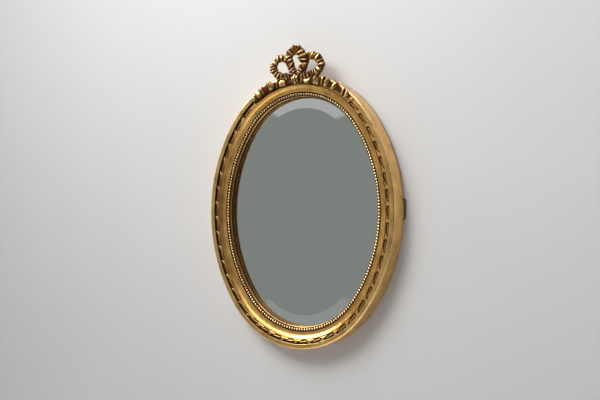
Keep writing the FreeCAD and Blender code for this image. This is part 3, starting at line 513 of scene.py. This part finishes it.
mirror_plate.data.polygons.foreach_get("normal", facing)
faces_back = facing.reshape(-1, 3)[:, 1] > 0.5
mirror_plate.data.polygons.foreach_set("material_index", faces_back.astype(np.int32))
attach(mirror_plate, "mirror")
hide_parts("mirror_glass")

# Ribbon bow: three loops of pleated ribbon carved in softwood and gilded, pegged and glued to the top of the
# frame. The pleats run across the ribbon, and the toning and painted shade lie dark between them.
BOW_HALF_WIDTH = 64.0
BOW_RISE = 58.0
RIBBON_WIDTH = 12.0
RIBBON_THICKNESS = 9.0
RIM_FRONT = 40.5
FOLD_PITCH = 7.5
FOLD_DEPTH = 0.50
FOLD_FULLNESS = 1.35
FOLD_FLATNESS = 0.45
# Runs of the loops as shares: x, z, back of the ribbon above the rim, width and thickness
LOOP_SHARES = {
    "left": (
        (-0.15, -0.075, 0.01, 0.60, 0.75), (-0.30, -0.060, 0.01, 0.90, 1.00),
        (-0.53, -0.035, 0.01, 1.00, 1.00), (-0.70, 0.050, 0.01, 1.05, 1.00),
        (-0.82, 0.210, -0.08, 1.08, 1.00), (-0.840, 0.385, -0.16, 1.10, 1.00),
        (-0.745, 0.535, -0.26, 1.08, 1.00), (-0.59, 0.605, -0.48, 1.05, 0.95),
        (-0.46, 0.555, -0.80, 1.00, 0.90), (-0.375, 0.415, -1.02, 0.95, 0.85),
        (-0.300, 0.245, -1.08, 0.90, 0.85), (-0.185, 0.045, -1.10, 0.85, 0.85),
    ),
    "right": (
        (0.205, -0.088, 0.01, 0.58, 0.75), (0.33, -0.075, 0.01, 0.85, 1.00),
        (0.57, -0.045, 0.01, 1.05, 1.00), (0.765, 0.025, 0.01, 1.12, 1.00),
        (0.865, 0.165, -0.05, 1.15, 1.00), (0.865, 0.335, -0.10, 1.15, 1.00),
        (0.775, 0.480, -0.20, 1.08, 1.00), (0.605, 0.575, -0.40, 1.05, 0.95),
        (0.43, 0.600, -0.80, 1.00, 0.90), (0.295, 0.520, -1.02, 0.95, 0.85),
        (0.240, 0.370, -1.08, 0.90, 0.85), (0.20, 0.215, -1.10, 0.80, 0.85),
        (0.135, 0.025, -1.10, 0.70, 0.85),
    ),
    "top": (
        (-0.045, -0.165, 0.01, 0.42, 0.33), (-0.048, -0.015, 0.01, 0.46, 0.33),
        (-0.055, 0.065, 0.05, 0.66, 0.70), (-0.100, 0.205, 0.10, 0.76, 0.95),
        (-0.175, 0.380, 0.14, 0.90, 1.00), (-0.230, 0.550, 0.14, 1.05, 1.00),
        (-0.230, 0.680, 0.10, 1.18, 1.00), (-0.150, 0.785, 0.06, 1.28, 1.00),
        (-0.005, 0.820, 0.04, 1.30, 1.00), (0.125, 0.775, 0.06, 1.28, 1.00),
        (0.210, 0.680, 0.10, 1.25, 1.00), (0.252, 0.560, 0.14, 1.32, 1.00),
        (0.262, 0.400, 0.14, 1.38, 1.00), (0.225, 0.230, 0.12, 1.26, 1.00),
        (0.135, 0.090, 0.06, 0.90, 0.78), (0.075, -0.025, 0.01, 0.48, 0.33),
        (0.060, -0.165, 0.01, 0.42, 0.33),
    ),
}
# How far the folds of each loop slant, and where their unevenness starts
LOOP_FOLDS = {"left": (0.42, 0.10), "right": (-0.42, 0.55), "top": (0.38, 0.80)}
SECTION_CROWN_POINTS = 17
SECTION_FULLNESS = 0.7
STEPS_TO_A_FOLD = 26
# How folds stray from even steps: strength, and turns along the run, of a long and a short swing
LONG_STRAY, LONG_STRAY_TURNS = 1.5, 2.3
SHORT_STRAY, SHORT_STRAY_TURNS = 1.0, 5.1
FOLD_SHARPNESS = 0.7
DEPTH_SPREAD, DEPTH_TURNS = 0.3, 3.7
CREASES_TO_A_FOLD = 2.6
CREASE_STRAY = 1.2
CREASE_SLANT = 4.0
CREASE_DEPTH = 0.10
LEAN, LEAN_LENGTH = 0.34, 62.0
RIDGE_WIDTH = 1.22
FOLD_NARROWING = 0.50
WIDTH_SPREAD = 0.09
# Toning of the ribbon's ridges, and toning with painted shade in its folds, creases, edges and back
RIBBON_TONING = 0.26
FOLD_TONING_AND_SHADE = 0.66
CREASE_TONING_AND_SHADE = 0.16
RIBBON_EDGE_TONING_AND_SHADE = 0.16
RIBBON_BACK_TONING_AND_SHADE = 0.85


def smooth_run(rows, steps=24):
    """A curve through every row: a cubic between neighbours, with slopes from the rows on both sides."""
    padded = np.vstack([2 * rows[0] - rows[1], rows, 2 * rows[-1] - rows[-2]])
    a, b, c, d = (padded[first:len(padded) - 3 + first, None] for first in range(4))
    t = np.linspace(0, 1, steps, endpoint=False)[None, :, None]
    square, cube = 2 * a - 5 * b + 4 * c - d, 3 * b - a - 3 * c + d
    curve = 0.5 * (2 * b + (c - a) * t + square * t ** 2 + cube * t ** 3)
    return np.vstack([curve.reshape(-1, rows.shape[1]), rows[-1:]])


def pleated_ribbon(name, rows, pitch, depth, fullness, flatness, slant, seed):
    """A crinkled ribbon along rows of x, z, height, width and thickness in millimetres.

    Its section is a flat back under a crowned front that leans to one side or the other along the run. A fold
    lowers and narrows the section by a power of 1 - sqrt((1 + cos phase) / 2). The phase grows by a turn for
    each fold, comes unevenly along the run and slants across the width, one way and then the other. Fine
    creases lie over the folds.
    """
    run = smooth_run(np.array(rows))
    length = np.concatenate([[0], np.cumsum(np.linalg.norm(np.diff(run[:, :3], axis=0), axis=1))])
    folds = max(3, round(length[-1] / pitch))
    station = np.linspace(0, length[-1], folds * STEPS_TO_A_FOLD + 1)
    run = np.stack([np.interp(station, length, column) for column in run.T], axis=-1)
    place, width, thickness = run[:, None, :3], run[:, 3, None], run[:, 4, None]
    tangent = np.gradient(run[:, :3], axis=0)
    tangent /= np.linalg.norm(tangent, axis=1)[:, None]
    across = np.cross(tangent, (0.0, 0.0, 1.0))
    across /= np.linalg.norm(across, axis=1)[:, None]
    lift = np.cross(across, tangent)
    angle = np.linspace(0, np.pi, SECTION_CROWN_POINTS)
    side = np.concatenate([0.5 * np.cos(angle), [-0.5, 0.5]])[None]
    crown = flatness + (1 - flatness) * np.sin(angle) ** SECTION_FULLNESS
    rise = np.concatenate([crown, [0.0, 0.0]])[None]
    share = station[:, None] / length[-1]
    uneven = LONG_STRAY * np.sin(2 * np.pi * (LONG_STRAY_TURNS * share + seed))
    uneven = uneven + SHORT_STRAY * np.sin(2 * np.pi * (SHORT_STRAY_TURNS * share - 2 * seed))
    zigzag = slant * np.sin(np.pi * folds * share + 7 * seed)
    phase = 2 * np.pi * folds * share + uneven + zigzag * 2 * np.pi * side
    fold = (1 - np.sqrt(0.5 + 0.5 * np.cos(phase + FOLD_SHARPNESS * np.sin(phase)))) ** fullness
    crease = CREASES_TO_A_FOLD * phase + CREASE_STRAY * np.sin(phase) + CREASE_SLANT * side
    crease = 0.5 - 0.5 * np.cos(crease)
    deeper = 1 + DEPTH_SPREAD * np.sin(2 * np.pi * (DEPTH_TURNS * share + 3 * seed))
    sunk = depth * deeper * fold + CREASE_DEPTH * crease
    lean = LEAN * np.sin(2 * np.pi * (station[:, None] / LEAN_LENGTH + seed))
    wider = 1 + WIDTH_SPREAD * np.sin(0.5 * phase + 9 * seed)
    out = width * side * wider * (RIDGE_WIDTH - FOLD_NARROWING * sunk)
    up = thickness * rise * (1 + 2 * lean * side) * (1 - sunk)
    points = place + across[:, None] * out[..., None] + lift[:, None] * up[..., None]
    points = MM * np.stack([points[..., 0], -points[..., 2], points[..., 1]], axis=-1)
    edge = RIBBON_EDGE_TONING_AND_SHADE * np.abs(2 * side) ** 4
    # Toning, with painted shade in the folds, creases and edges and under the back
    toning_and_shade = RIBBON_TONING + FOLD_TONING_AND_SHADE * fold + CREASE_TONING_AND_SHADE * crease + edge
    hollow = np.clip(np.where(rise > 0, toning_and_shade, RIBBON_BACK_TONING_AND_SHADE), 0, 1)
    return make_piece(name, points, capped_faces(*points.shape[:2]),
                      {"hollow": hollow, "gilt": 1.0}, sharp=60.0)


ribbon_gilding = gilding("toned_and_shaded_leaf_on_ribbon", toning_and_shade_start=0.27, toning_and_shade_end=0.68, polish=0.06)
for loop, shares in LOOP_SHARES.items():
    x, z, back, width, thickness = np.array(shares).T
    rows = np.stack([x * BOW_HALF_WIDTH, OVAL_HEIGHT / 2 + z * BOW_RISE, RIM_FRONT + back * RIBBON_THICKNESS,
                     width * RIBBON_WIDTH, thickness * RIBBON_THICKNESS], axis=-1)
    piece = pleated_ribbon(f"bow_loop_{loop}", rows, FOLD_PITCH, FOLD_DEPTH, FOLD_FULLNESS, FOLD_FLATNESS,
                           *LOOP_FOLDS[loop])
    piece.data.materials.append(ribbon_gilding)
    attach(piece, "mirror")
    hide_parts(f"bow_{loop}_loop")

# Ribbon tails: the two ends of the ribbon, carved in bulging folds and glued along the top of the frame.
# The left one ends blunt over the channel, and the right one runs out in a point on the rim.
TAIL_WIDTH = 15.0
TAIL_THICKNESS = 9.0
TAIL_FOLD_PITCH = 17.0
TAIL_FOLD_DEPTH = 0.84
TAIL_FULLNESS = 2.0
TAIL_FLATNESS = 0.25
RIM_AND_CHANNEL = 19.0
# Runs of the tails as shares: angle from the top, middle across rim and channel, width and thickness
TAIL_SHARES = {
    "left": (
        (0.07, 0.68, 0.42, 0.30), (0.16, 0.66, 0.70, 0.52), (0.25, 0.54, 0.90, 0.85),
        (0.33, 0.47, 0.82, 0.60), (0.43, 0.36, 1.15, 1.00), (0.53, 0.38, 0.85, 0.55),
        (0.60, 0.38, 1.00, 0.80), (0.66, 0.44, 0.75, 0.50), (0.71, 0.52, 0.35, 0.25),
    ),
    "right": (
        (0.07, 0.70, 0.42, 0.30), (0.16, 0.67, 0.70, 0.48), (0.24, 0.55, 0.90, 0.80),
        (0.31, 0.47, 0.85, 0.60), (0.39, 0.38, 1.10, 0.95), (0.47, 0.40, 0.85, 0.55),
        (0.55, 0.37, 1.10, 0.95), (0.64, 0.42, 0.85, 0.50), (0.72, 0.41, 0.90, 0.60),
        (0.79, 0.40, 0.60, 0.45), (0.86, 0.34, 0.25, 0.25),
    ),
}
# Which way each tail turns from the top, how far its folds slant, and where their unevenness starts
TAIL_FOLDS = {"left": (1, 0.16, 0.30), "right": (-1, -0.16, 0.05)}
# The tails' folds carry toning and painted shade, and their ridges worn gold with painted highlights
tail_gilding = gilding("toned_and_shaded_leaf_on_tails", toning_and_shade_start=0.29, toning_and_shade_end=0.68, polish=0.06)
for tail, shares in TAIL_SHARES.items():
    angle, inset, width, thickness = np.array(shares).T
    way, slant, seed = TAIL_FOLDS[tail]
    turn = np.pi / 2 + END_HALF * angle * way
    reach = END_RADIUS - inset * RIM_AND_CHANNEL
    rows = np.stack([reach * np.cos(turn), END_CENTRE + reach * np.sin(turn), np.full_like(turn, RIM_FRONT),
                     width * TAIL_WIDTH, thickness * TAIL_THICKNESS], axis=-1)
    piece = pleated_ribbon(f"ribbon_end_{tail}", rows, TAIL_FOLD_PITCH, TAIL_FOLD_DEPTH, TAIL_FULLNESS,
                           TAIL_FLATNESS, slant, seed)
    piece.data.materials.append(tail_gilding)
    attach(piece, "mirror")
    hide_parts(f"ribbon_tail_{tail}")

# Knot: the band of ribbon that gathers the bow, carved as a pleated cushion and gilded like the loops.
# It is glued over the feet of the upright loop and hides where the ribbon ends meet.
KNOT_HALF_WIDTH = 8.6
KNOT_HALF_HEIGHT = 9.6
KNOT_BASE = 43.6
KNOT_EDGE = 1.2
KNOT_CROWN = 6.6
KNOT_ROUNDNESS = 0.9
KNOT_INSET = 10.5
KNOT_PLACE = OVAL_HEIGHT / 2 - KNOT_INSET
KNOT_RINGS = 34
KNOT_SIDES = 96
KNOT_EYE = 0.03
KNOT_PLEATS = 1.55
PLEAT_SPREAD = 0.45
PLEAT_WAVER, PLEAT_WAVER_RATE = 0.12, 3
PLEAT_DEPTH = 0.30
# Toning of the knot's ridges, and toning with painted shade in its pleats and at its edge
KNOT_TONING = 0.24
PLEAT_TONING_AND_SHADE = 0.70
KNOT_EDGE_TONING_AND_SHADE = 0.30
knot_reach = np.concatenate([np.linspace(KNOT_EYE, 1.0, KNOT_RINGS), [1.0]])[:, None]
knot_turn = np.linspace(0, 2 * np.pi, KNOT_SIDES, endpoint=False)[None]
knot_across = knot_reach * np.cos(knot_turn)
knot_along = knot_reach * np.sin(knot_turn)
# Height: a dome, creased by upright pleats that spread towards the top and the foot of the knot
knot_pleat = KNOT_PLEATS * knot_across * (1 - PLEAT_SPREAD * knot_along ** 2)
knot_pleat = knot_pleat + PLEAT_WAVER * np.sin(PLEAT_WAVER_RATE * knot_along)
knot_ridge = np.sqrt(0.5 + 0.5 * np.cos(2 * np.pi * knot_pleat))
knot_dome = KNOT_CROWN * np.sqrt(1 - KNOT_ROUNDNESS * knot_reach ** 2)
knot_height = KNOT_BASE + KNOT_EDGE + knot_dome * (1 - PLEAT_DEPTH + PLEAT_DEPTH * knot_ridge)
knot_height[-1] = KNOT_BASE
knot_points = MM * np.stack([KNOT_HALF_WIDTH * knot_across, -knot_height,
                             KNOT_PLACE + KNOT_HALF_HEIGHT * knot_along], axis=-1)
# Toning, with painted shade in the pleats and at the edge
knot_hollow = KNOT_TONING + PLEAT_TONING_AND_SHADE * (1 - knot_ridge) + KNOT_EDGE_TONING_AND_SHADE * knot_reach ** 6
knot = make_piece("ribbon_knot", knot_points, capped_faces(*knot_points.shape[:2]),
                  {"hollow": np.clip(knot_hollow, 0, 1), "gilt": 1.0}, sharp=60.0)
knot.data.materials.append(ribbon_gilding)
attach(knot, "mirror")
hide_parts("bow_knot")

# Back board: a thin board of plain wood, let in flush with the back of the frame over the glass.
# The blocks, dowels and pegs are bare wood too, and are hidden once the mirror is together.
BOARD_LIGHT = (0.30, 0.18, 0.095, 1.0)
BOARD_DARK = (0.16, 0.088, 0.043, 1.0)
BOARD_GRAIN = 55.0
BEECH_LIGHT = (0.50, 0.33, 0.19, 1.0)
BEECH_DARK = (0.34, 0.20, 0.10, 1.0)
BEECH_GRAIN = 120.0
GRAIN_STRETCH = (1.0, 1.0, 0.06)
RINGS_TO_GRAIN = 3.4
RING_SHARE = 0.26
GRAIN_RANGE = (0.26, 0.76)
PORES_TO_GRAIN = 9
PORE_RANGE = (0.55, 0.75)
PORE_SHARE = 0.45
STAIN_SCALE = 6.0
STAIN_RANGE = (0.5, 0.8)
STAIN_SHARE = 0.4
STAIN_DARKNESS = 0.55
WOOD_ROUGHNESS = (0.55, 0.8)


def bare_wood(name, light, dark, grain_scale):
    """Planed wood: growth rings stretched along the grain, with pores and a little wear."""
    material, tree, shader, place = finished(name)
    stretch = add_node(tree, "ShaderNodeMapping", {"Vector": place, "Scale": GRAIN_STRETCH}).outputs["Vector"]
    figure = cloud(tree, stretch, grain_scale, detail=5.0)
    inputs = {"Vector": stretch, "Scale": grain_scale / RINGS_TO_GRAIN, "Distortion": 16.0, "Detail": 4.0,
              "Detail Scale": 0.7}
    wave = add_node(tree, "ShaderNodeTexWave", inputs, bands_direction="X", wave_profile="SIN")
    rings = wave.outputs["Fac"]
    pores = cloud(tree, stretch, grain_scale * PORES_TO_GRAIN, detail=3.0)
    stain = cloud(tree, place, STAIN_SCALE, detail=3.0)
    grain = work_number(tree, "ADD", blend_number(tree, rings, 0.0, RING_SHARE),
                        blend_number(tree, figure, 0.0, 1 - RING_SHARE))
    tone = blend_colour(tree, ease_number(tree, grain, *GRAIN_RANGE), light, dark)
    pitted = blend_number(tree, ease_number(tree, pores, *PORE_RANGE), 0.0, PORE_SHARE)
    tone = blend_colour(tree, pitted, tone, dark)
    worn = tuple(STAIN_DARKNESS * channel for channel in dark[:3]) + (1.0,)
    stained = blend_number(tree, ease_number(tree, stain, *STAIN_RANGE), 0.0, STAIN_SHARE)
    tree.links.new(blend_colour(tree, stained, tone, worn), shader.inputs["Base Color"])
    tree.links.new(blend_number(tree, figure, *WOOD_ROUGHNESS), shader.inputs["Roughness"])
    inputs = {"Height": work_number(tree, "ADD", figure, pores), "Strength": 0.25, "Distance": 0.0005}
    tree.links.new(add_node(tree, "ShaderNodeBump", inputs).outputs["Normal"], shader.inputs["Normal"])
    return material


def refinish(node, material):
    """Gives a node of the construction its finish."""
    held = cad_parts[node].data.materials
    held.clear()
    held.append(material)


refinish("back_board", bare_wood("old_board", BOARD_LIGHT, BOARD_DARK, BOARD_GRAIN))
peg_wood = bare_wood("pale_beech", BEECH_LIGHT, BEECH_DARK, BEECH_GRAIN)
for node in ("glass_blocks", "joint_dowels", "crest_pegs"):
    refinish(node, peg_wood)

# Pins and hanging loops: steel pins hold the board. Each loop is a bent brass wire in the knuckle of a
# screwed plate, one at the top and one at the side, and loops and plates are coloured a near-black brown.
BRIGHT_STEEL = (0.42, 0.41, 0.39, 1.0)
RUSTED_STEEL = (0.16, 0.11, 0.08, 1.0)
BRIGHT_BRASS = (0.46, 0.32, 0.14, 1.0)
DULL_BRASS = (0.17, 0.11, 0.05, 1.0)
NEAR_BLACK_BRASS = (0.05, 0.034, 0.02, 1.0)
TARNISH_SCALE = 180.0
TARNISH_RANGE = (0.38, 0.66)
TARNISH_ROUGHNESS = 0.25
TARNISHED_METAL = (0.95, 0.6)
SCRATCH_STRETCH = (1.0, 1.0, 14.0)
SCRATCH_SCALE = 420.0
SCRATCH_ROUGHNESS = 0.06


def worn_metal(name, bright, dark, roughness):
    """Old metal: a tarnish that is thicker in places, with fine scratches in its gloss."""
    material, tree, shader, place = finished(name)
    tarnish = ease_number(tree, cloud(tree, place, TARNISH_SCALE, detail=5.0), *TARNISH_RANGE)
    inputs = {"Vector": place, "Scale": SCRATCH_STRETCH}
    scratch = add_node(tree, "ShaderNodeMapping", inputs).outputs["Vector"]
    fine = cloud(tree, scratch, SCRATCH_SCALE, detail=2.0)
    tree.links.new(blend_colour(tree, tarnish, bright, dark), shader.inputs["Base Color"])
    tree.links.new(blend_number(tree, tarnish, *TARNISHED_METAL), shader.inputs["Metallic"])
    rough = work_number(tree, "ADD", blend_number(tree, tarnish, roughness, roughness + TARNISH_ROUGHNESS),
                        blend_number(tree, fine, -SCRATCH_ROUGHNESS, SCRATCH_ROUGHNESS))
    tree.links.new(rough, shader.inputs["Roughness"])
    inputs = {"Height": fine, "Strength": 0.1, "Distance": 0.0002}
    tree.links.new(add_node(tree, "ShaderNodeBump", inputs).outputs["Normal"], shader.inputs["Normal"])
    return material


refinish("board_pins", worn_metal("dull_steel", BRIGHT_STEEL, RUSTED_STEEL, roughness=0.35))
refinish("hanger_screws", worn_metal("screw_brass", BRIGHT_BRASS, DULL_BRASS, roughness=0.30))
loop_brass = worn_metal("dark_brass", DULL_BRASS, NEAR_BLACK_BRASS, roughness=0.32)
for node in ("hanger_plate_top", "hanger_plate_side"):
    refinish(node, loop_brass)
WIRE_RADIUS = 1.5
WIRE_SIDES = 16
LOOP_LENGTH = 12.5
LOOP_WIDTH = 37.0
LOOP_CORNER = 4.0
CORNER_STEPS = 10
LOOP_BEHIND = 2.76
HANGER_INSET = 11.5
HANGER_RISE = 6.0
# Wire line: a rectangle with round corners, from the hinge bar outwards and sideways
corner_turn = np.linspace(0, np.pi / 2, CORNER_STEPS)[None] + np.pi / 2 * np.arange(4)[:, None]
corner_far = LOOP_LENGTH - LOOP_CORNER
corner_out = np.array([corner_far, LOOP_CORNER, LOOP_CORNER, corner_far])[:, None]
corner_side = (LOOP_WIDTH / 2 - LOOP_CORNER) * np.array([1, 1, -1, -1])[:, None]
line_out = (corner_out + LOOP_CORNER * np.cos(corner_turn)).ravel()[:, None]
line_side = (corner_side + LOOP_CORNER * np.sin(corner_turn)).ravel()[:, None]
line_turn = corner_turn.ravel()[:, None]
wire_turn = np.linspace(0, 2 * np.pi, WIRE_SIDES, endpoint=False)[None]
wire_out = line_out + WIRE_RADIUS * np.cos(wire_turn) * np.cos(line_turn)
wire_side = line_side + WIRE_RADIUS * np.cos(wire_turn) * np.sin(line_turn)
wire_behind = np.broadcast_to(LOOP_BEHIND + WIRE_RADIUS * np.sin(wire_turn), wire_out.shape)
LOOP_PLACES = {
    "top": np.stack([wire_side, wire_behind, OVAL_HEIGHT / 2 - HANGER_INSET + wire_out], axis=-1),
    "side": np.stack([OVAL_WIDTH / 2 - HANGER_INSET + wire_out, wire_behind, HANGER_RISE + wire_side],
                     axis=-1),
}
for place_name, points in LOOP_PLACES.items():
    faces = grid_faces(*points.shape[:2], onward=True)
    piece = make_piece(f"hanging_loop_{place_name}", MM * points, faces, {}, sharp=60.0)
    piece.data.materials.append(loop_brass)
    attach(piece, f"{place_name}_ring")
    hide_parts(f"hanger_ring_{place_name}")

# Studio: a pale wall close behind the mirror that shows only from the front, and a pale floor well below it.
# Two dim grey cards, before the mirror and to its right, glow to stand in for a room and show only in its
# glass and gold, and soft lamps light it from the upper left, above, below and behind.
WALL_BEHIND = 0.008
WALL_REACH = 4.0
FLOOR_BELOW = -1.1
WALL_GREYS = ((0.70, 0.70, 0.70, 1.0), (0.74, 0.74, 0.74, 1.0))
FLOOR_GREYS = ((0.66, 0.65, 0.64, 1.0), (0.71, 0.70, 0.69, 1.0))


def stage_sheet(name, corners, material):
    """A flat sheet through four corners."""
    mesh = bpy.data.meshes.new(name)
    mesh.from_pydata(corners, [], [(0, 1, 2, 3)])
    mesh.materials.append(material)
    sheet = bpy.data.objects.new(name, mesh)
    bpy.context.scene.collection.objects.link(sheet)
    return sheet


wall_paint, tree, shader, place = finished("wall_paint")
wall_tone = blend_colour(tree, cloud(tree, place, scale=3.0, detail=2.0), *WALL_GREYS)
tree.links.new(wall_tone, shader.inputs["Base Color"])
shader.inputs["Roughness"].default_value = 0.9
clear = add_node(tree, "ShaderNodeBsdfTransparent", {}).outputs["BSDF"]
behind = add_node(tree, "ShaderNodeNewGeometry", {}).outputs["Backfacing"]
inputs = {0: behind, 1: shader.outputs["BSDF"], 2: clear}
seen = add_node(tree, "ShaderNodeMixShader", inputs).outputs["Shader"]
tree.links.new(seen, tree.nodes["Material Output"].inputs["Surface"])
wall_corners = [(-WALL_REACH, WALL_BEHIND, FLOOR_BELOW), (WALL_REACH, WALL_BEHIND, FLOOR_BELOW),
                (WALL_REACH, WALL_BEHIND, WALL_REACH), (-WALL_REACH, WALL_BEHIND, WALL_REACH)]
wall = stage_sheet("wall", wall_corners, wall_paint)
wall.visible_shadow = False
wall.visible_diffuse = False
floor_paint, tree, shader, place = finished("floor_paint")
floor_tone = blend_colour(tree, cloud(tree, place, scale=5.0, detail=3.0), *FLOOR_GREYS)
tree.links.new(floor_tone, shader.inputs["Base Color"])
shader.inputs["Roughness"].default_value = 0.7
floor_corners = [(-WALL_REACH, -WALL_REACH, FLOOR_BELOW), (WALL_REACH, -WALL_REACH, FLOOR_BELOW),
                 (WALL_REACH, WALL_REACH, FLOOR_BELOW), (-WALL_REACH, WALL_REACH, FLOOR_BELOW)]
stage_sheet("floor", floor_corners, floor_paint)

CARD_AWAY = -2.2
CARD_NEAR = -0.1
CARD_REACH = 2.6
CARD_LOW = -1.09
CARD_HIGH = 2.4
CARD_MIDDLE_GREY = (0.230, 0.243, 0.236, 1.0)
CARD_LOWER_GREY = (0.30, 0.31, 0.30, 1.0)
CARD_UPPER_GREY = (0.44, 0.44, 0.44, 1.0)
CARD_SIDE_BROWN = (0.050, 0.042, 0.035, 1.0)
# Where the card's lighter upper and lower parts begin, how they slope, and where its dark right side begins
CARD_SLOPE = 0.13
CARD_UPPER_RANGE = (0.63, 0.67)
CARD_LOWER_RANGE = (-0.52, -0.62)
CARD_SIDE_RANGE = (-0.4, 0.6)
# The cards glow: painted light, lighter in an upper and a lower band and dark at the right, seen only in
# reflections
room_glow, tree, shader, place = finished("room_glow")
axes = add_node(tree, "ShaderNodeSeparateXYZ", {"Vector": place}).outputs
slope = work_number(tree, "MULTIPLY", axes["X"], CARD_SLOPE)
upper = ease_number(tree, work_number(tree, "ADD", axes["Z"], slope), *CARD_UPPER_RANGE)
lower = ease_number(tree, work_number(tree, "SUBTRACT", axes["Z"], slope), *CARD_LOWER_RANGE)
grey = blend_colour(tree, lower, CARD_MIDDLE_GREY, CARD_LOWER_GREY)
grey = blend_colour(tree, upper, grey, CARD_UPPER_GREY)
grey = blend_colour(tree, ease_number(tree, axes["X"], *CARD_SIDE_RANGE), grey, CARD_SIDE_BROWN)
glow = add_node(tree, "ShaderNodeEmission", {"Color": grey}).outputs["Emission"]
tree.links.new(glow, tree.nodes["Material Output"].inputs["Surface"])
card_corners = [(-CARD_REACH, CARD_AWAY, CARD_LOW), (-CARD_REACH, CARD_AWAY, CARD_HIGH),
                (CARD_REACH, CARD_AWAY, CARD_HIGH), (CARD_REACH, CARD_AWAY, CARD_LOW)]
side_corners = [(CARD_REACH, CARD_AWAY, CARD_LOW), (CARD_REACH, CARD_AWAY, CARD_HIGH),
                (CARD_REACH, CARD_NEAR, CARD_HIGH), (CARD_REACH, CARD_NEAR, CARD_LOW)]
for name, corners in (("room_card", card_corners), ("side_card", side_corners)):
    sheet = stage_sheet(name, corners, room_glow)
    sheet.visible_camera = False
    sheet.visible_shadow = False
    sheet.visible_diffuse = False

# Place, aim, size in metres, power in watts and colour of each lamp
LAMPS = {
    "key": ((-0.38, -1.25, 1.15), (-0.12, 0.0, 0.45), 0.9, 14.5, (1.0, 0.995, 0.985)),
    "fill": ((0.05, -1.6, 1.1), (0.9, 0.0, 0.25), 0.8, 13.5, (1.0, 0.995, 0.985)),
    "gleam": ((-1.7, -0.8, 1.8), (0.0, 0.0, 0.0), 1.6, 100.0, (1.0, 0.98, 0.94)),
    "overhead": ((0.2, -1.6, 2.5), (0.0, 0.0, 0.0), 2.2, 50.0, (1.0, 0.99, 0.98)),
    "low_glow": ((-0.05, -0.95, -1.05), (0.0, -0.4, 0.2), 1.3, 6.2, (1.0, 0.97, 0.92)),
    "back_fill": ((-1.0, 2.3, 0.2), (0.0, 0.0, 0.0), 1.6, 110.0, (1.0, 0.98, 0.95)),
}
# Lamps that light only matt surfaces, and lamps that only shine in the gold and the glass
MATT_LAMPS = ("key", "fill")
SHINE_LAMPS = ("gleam", "overhead", "low_glow")
SKY_GREY = (0.80, 0.80, 0.81, 1.0)
SKY_STRENGTH = 0.30


def soft_light(name, place, aim, size, power, colour):
    """A square soft light at a place, turned towards its aim, and its object."""
    light = bpy.data.lights.new(name, "AREA")
    light.size = size
    light.energy = power
    light.color = colour
    lamp = bpy.data.objects.new(name, light)
    away = np.array(place) - np.array(aim)
    away /= np.linalg.norm(away)
    right = np.cross((0.0, 0.0, 1.0), away)
    right /= np.linalg.norm(right)
    turn = np.eye(4)
    turn[:3, :4] = np.stack([right, np.cross(away, right), away, place], axis=-1)
    lamp.matrix_world = Matrix(turn.tolist())
    lamp.visible_camera = False
    bpy.context.scene.collection.objects.link(lamp)
    return lamp


for name, settings in LAMPS.items():
    lamp = soft_light(name, *settings)
    lamp.visible_glossy = name not in MATT_LAMPS
    lamp.visible_diffuse = name not in SHINE_LAMPS
world = bpy.data.worlds.new("studio")
bpy.context.scene.world = world
world.use_nodes = True
world.node_tree.nodes["Background"].inputs["Color"].default_value = SKY_GREY
world.node_tree.nodes["Background"].inputs["Strength"].default_value = SKY_STRENGTH
bpy.context.scene.view_settings.view_transform = "Standard"

# Camera: to the right of the mirror and nearly level with its middle, rolled by less than half a degree.
# It stands about 1.6 metres away and has a lens of normal length.
VIEW_AZIMUTH = np.radians(32.8)
VIEW_ELEVATION = np.radians(-0.75)
VIEW_ROLL = np.radians(0.4)
VIEW_TARGET = np.array((0.00163, -0.02796, 0.0226))
VIEW_DISTANCE = 1.6147
back = np.array((np.sin(VIEW_AZIMUTH) * np.cos(VIEW_ELEVATION),
                 -np.cos(VIEW_AZIMUTH) * np.cos(VIEW_ELEVATION), np.sin(VIEW_ELEVATION)))
level = np.array((np.cos(VIEW_AZIMUTH), np.sin(VIEW_AZIMUTH), 0.0))
upright = np.cross(back, level)
right = level * np.cos(VIEW_ROLL) + upright * np.sin(VIEW_ROLL)
up = upright * np.cos(VIEW_ROLL) - level * np.sin(VIEW_ROLL)
camera_data = bpy.data.cameras.new("view")
camera_data.sensor_width = 36.0
camera_data.lens = 49.2
camera = bpy.data.objects.new("view", camera_data)
pose = np.eye(4)
pose[:3, :4] = np.stack([right, up, back, VIEW_TARGET + VIEW_DISTANCE * back], axis=-1)
camera.matrix_world = Matrix(pose.tolist())
bpy.context.scene.collection.objects.link(camera)
bpy.context.scene.camera = camera
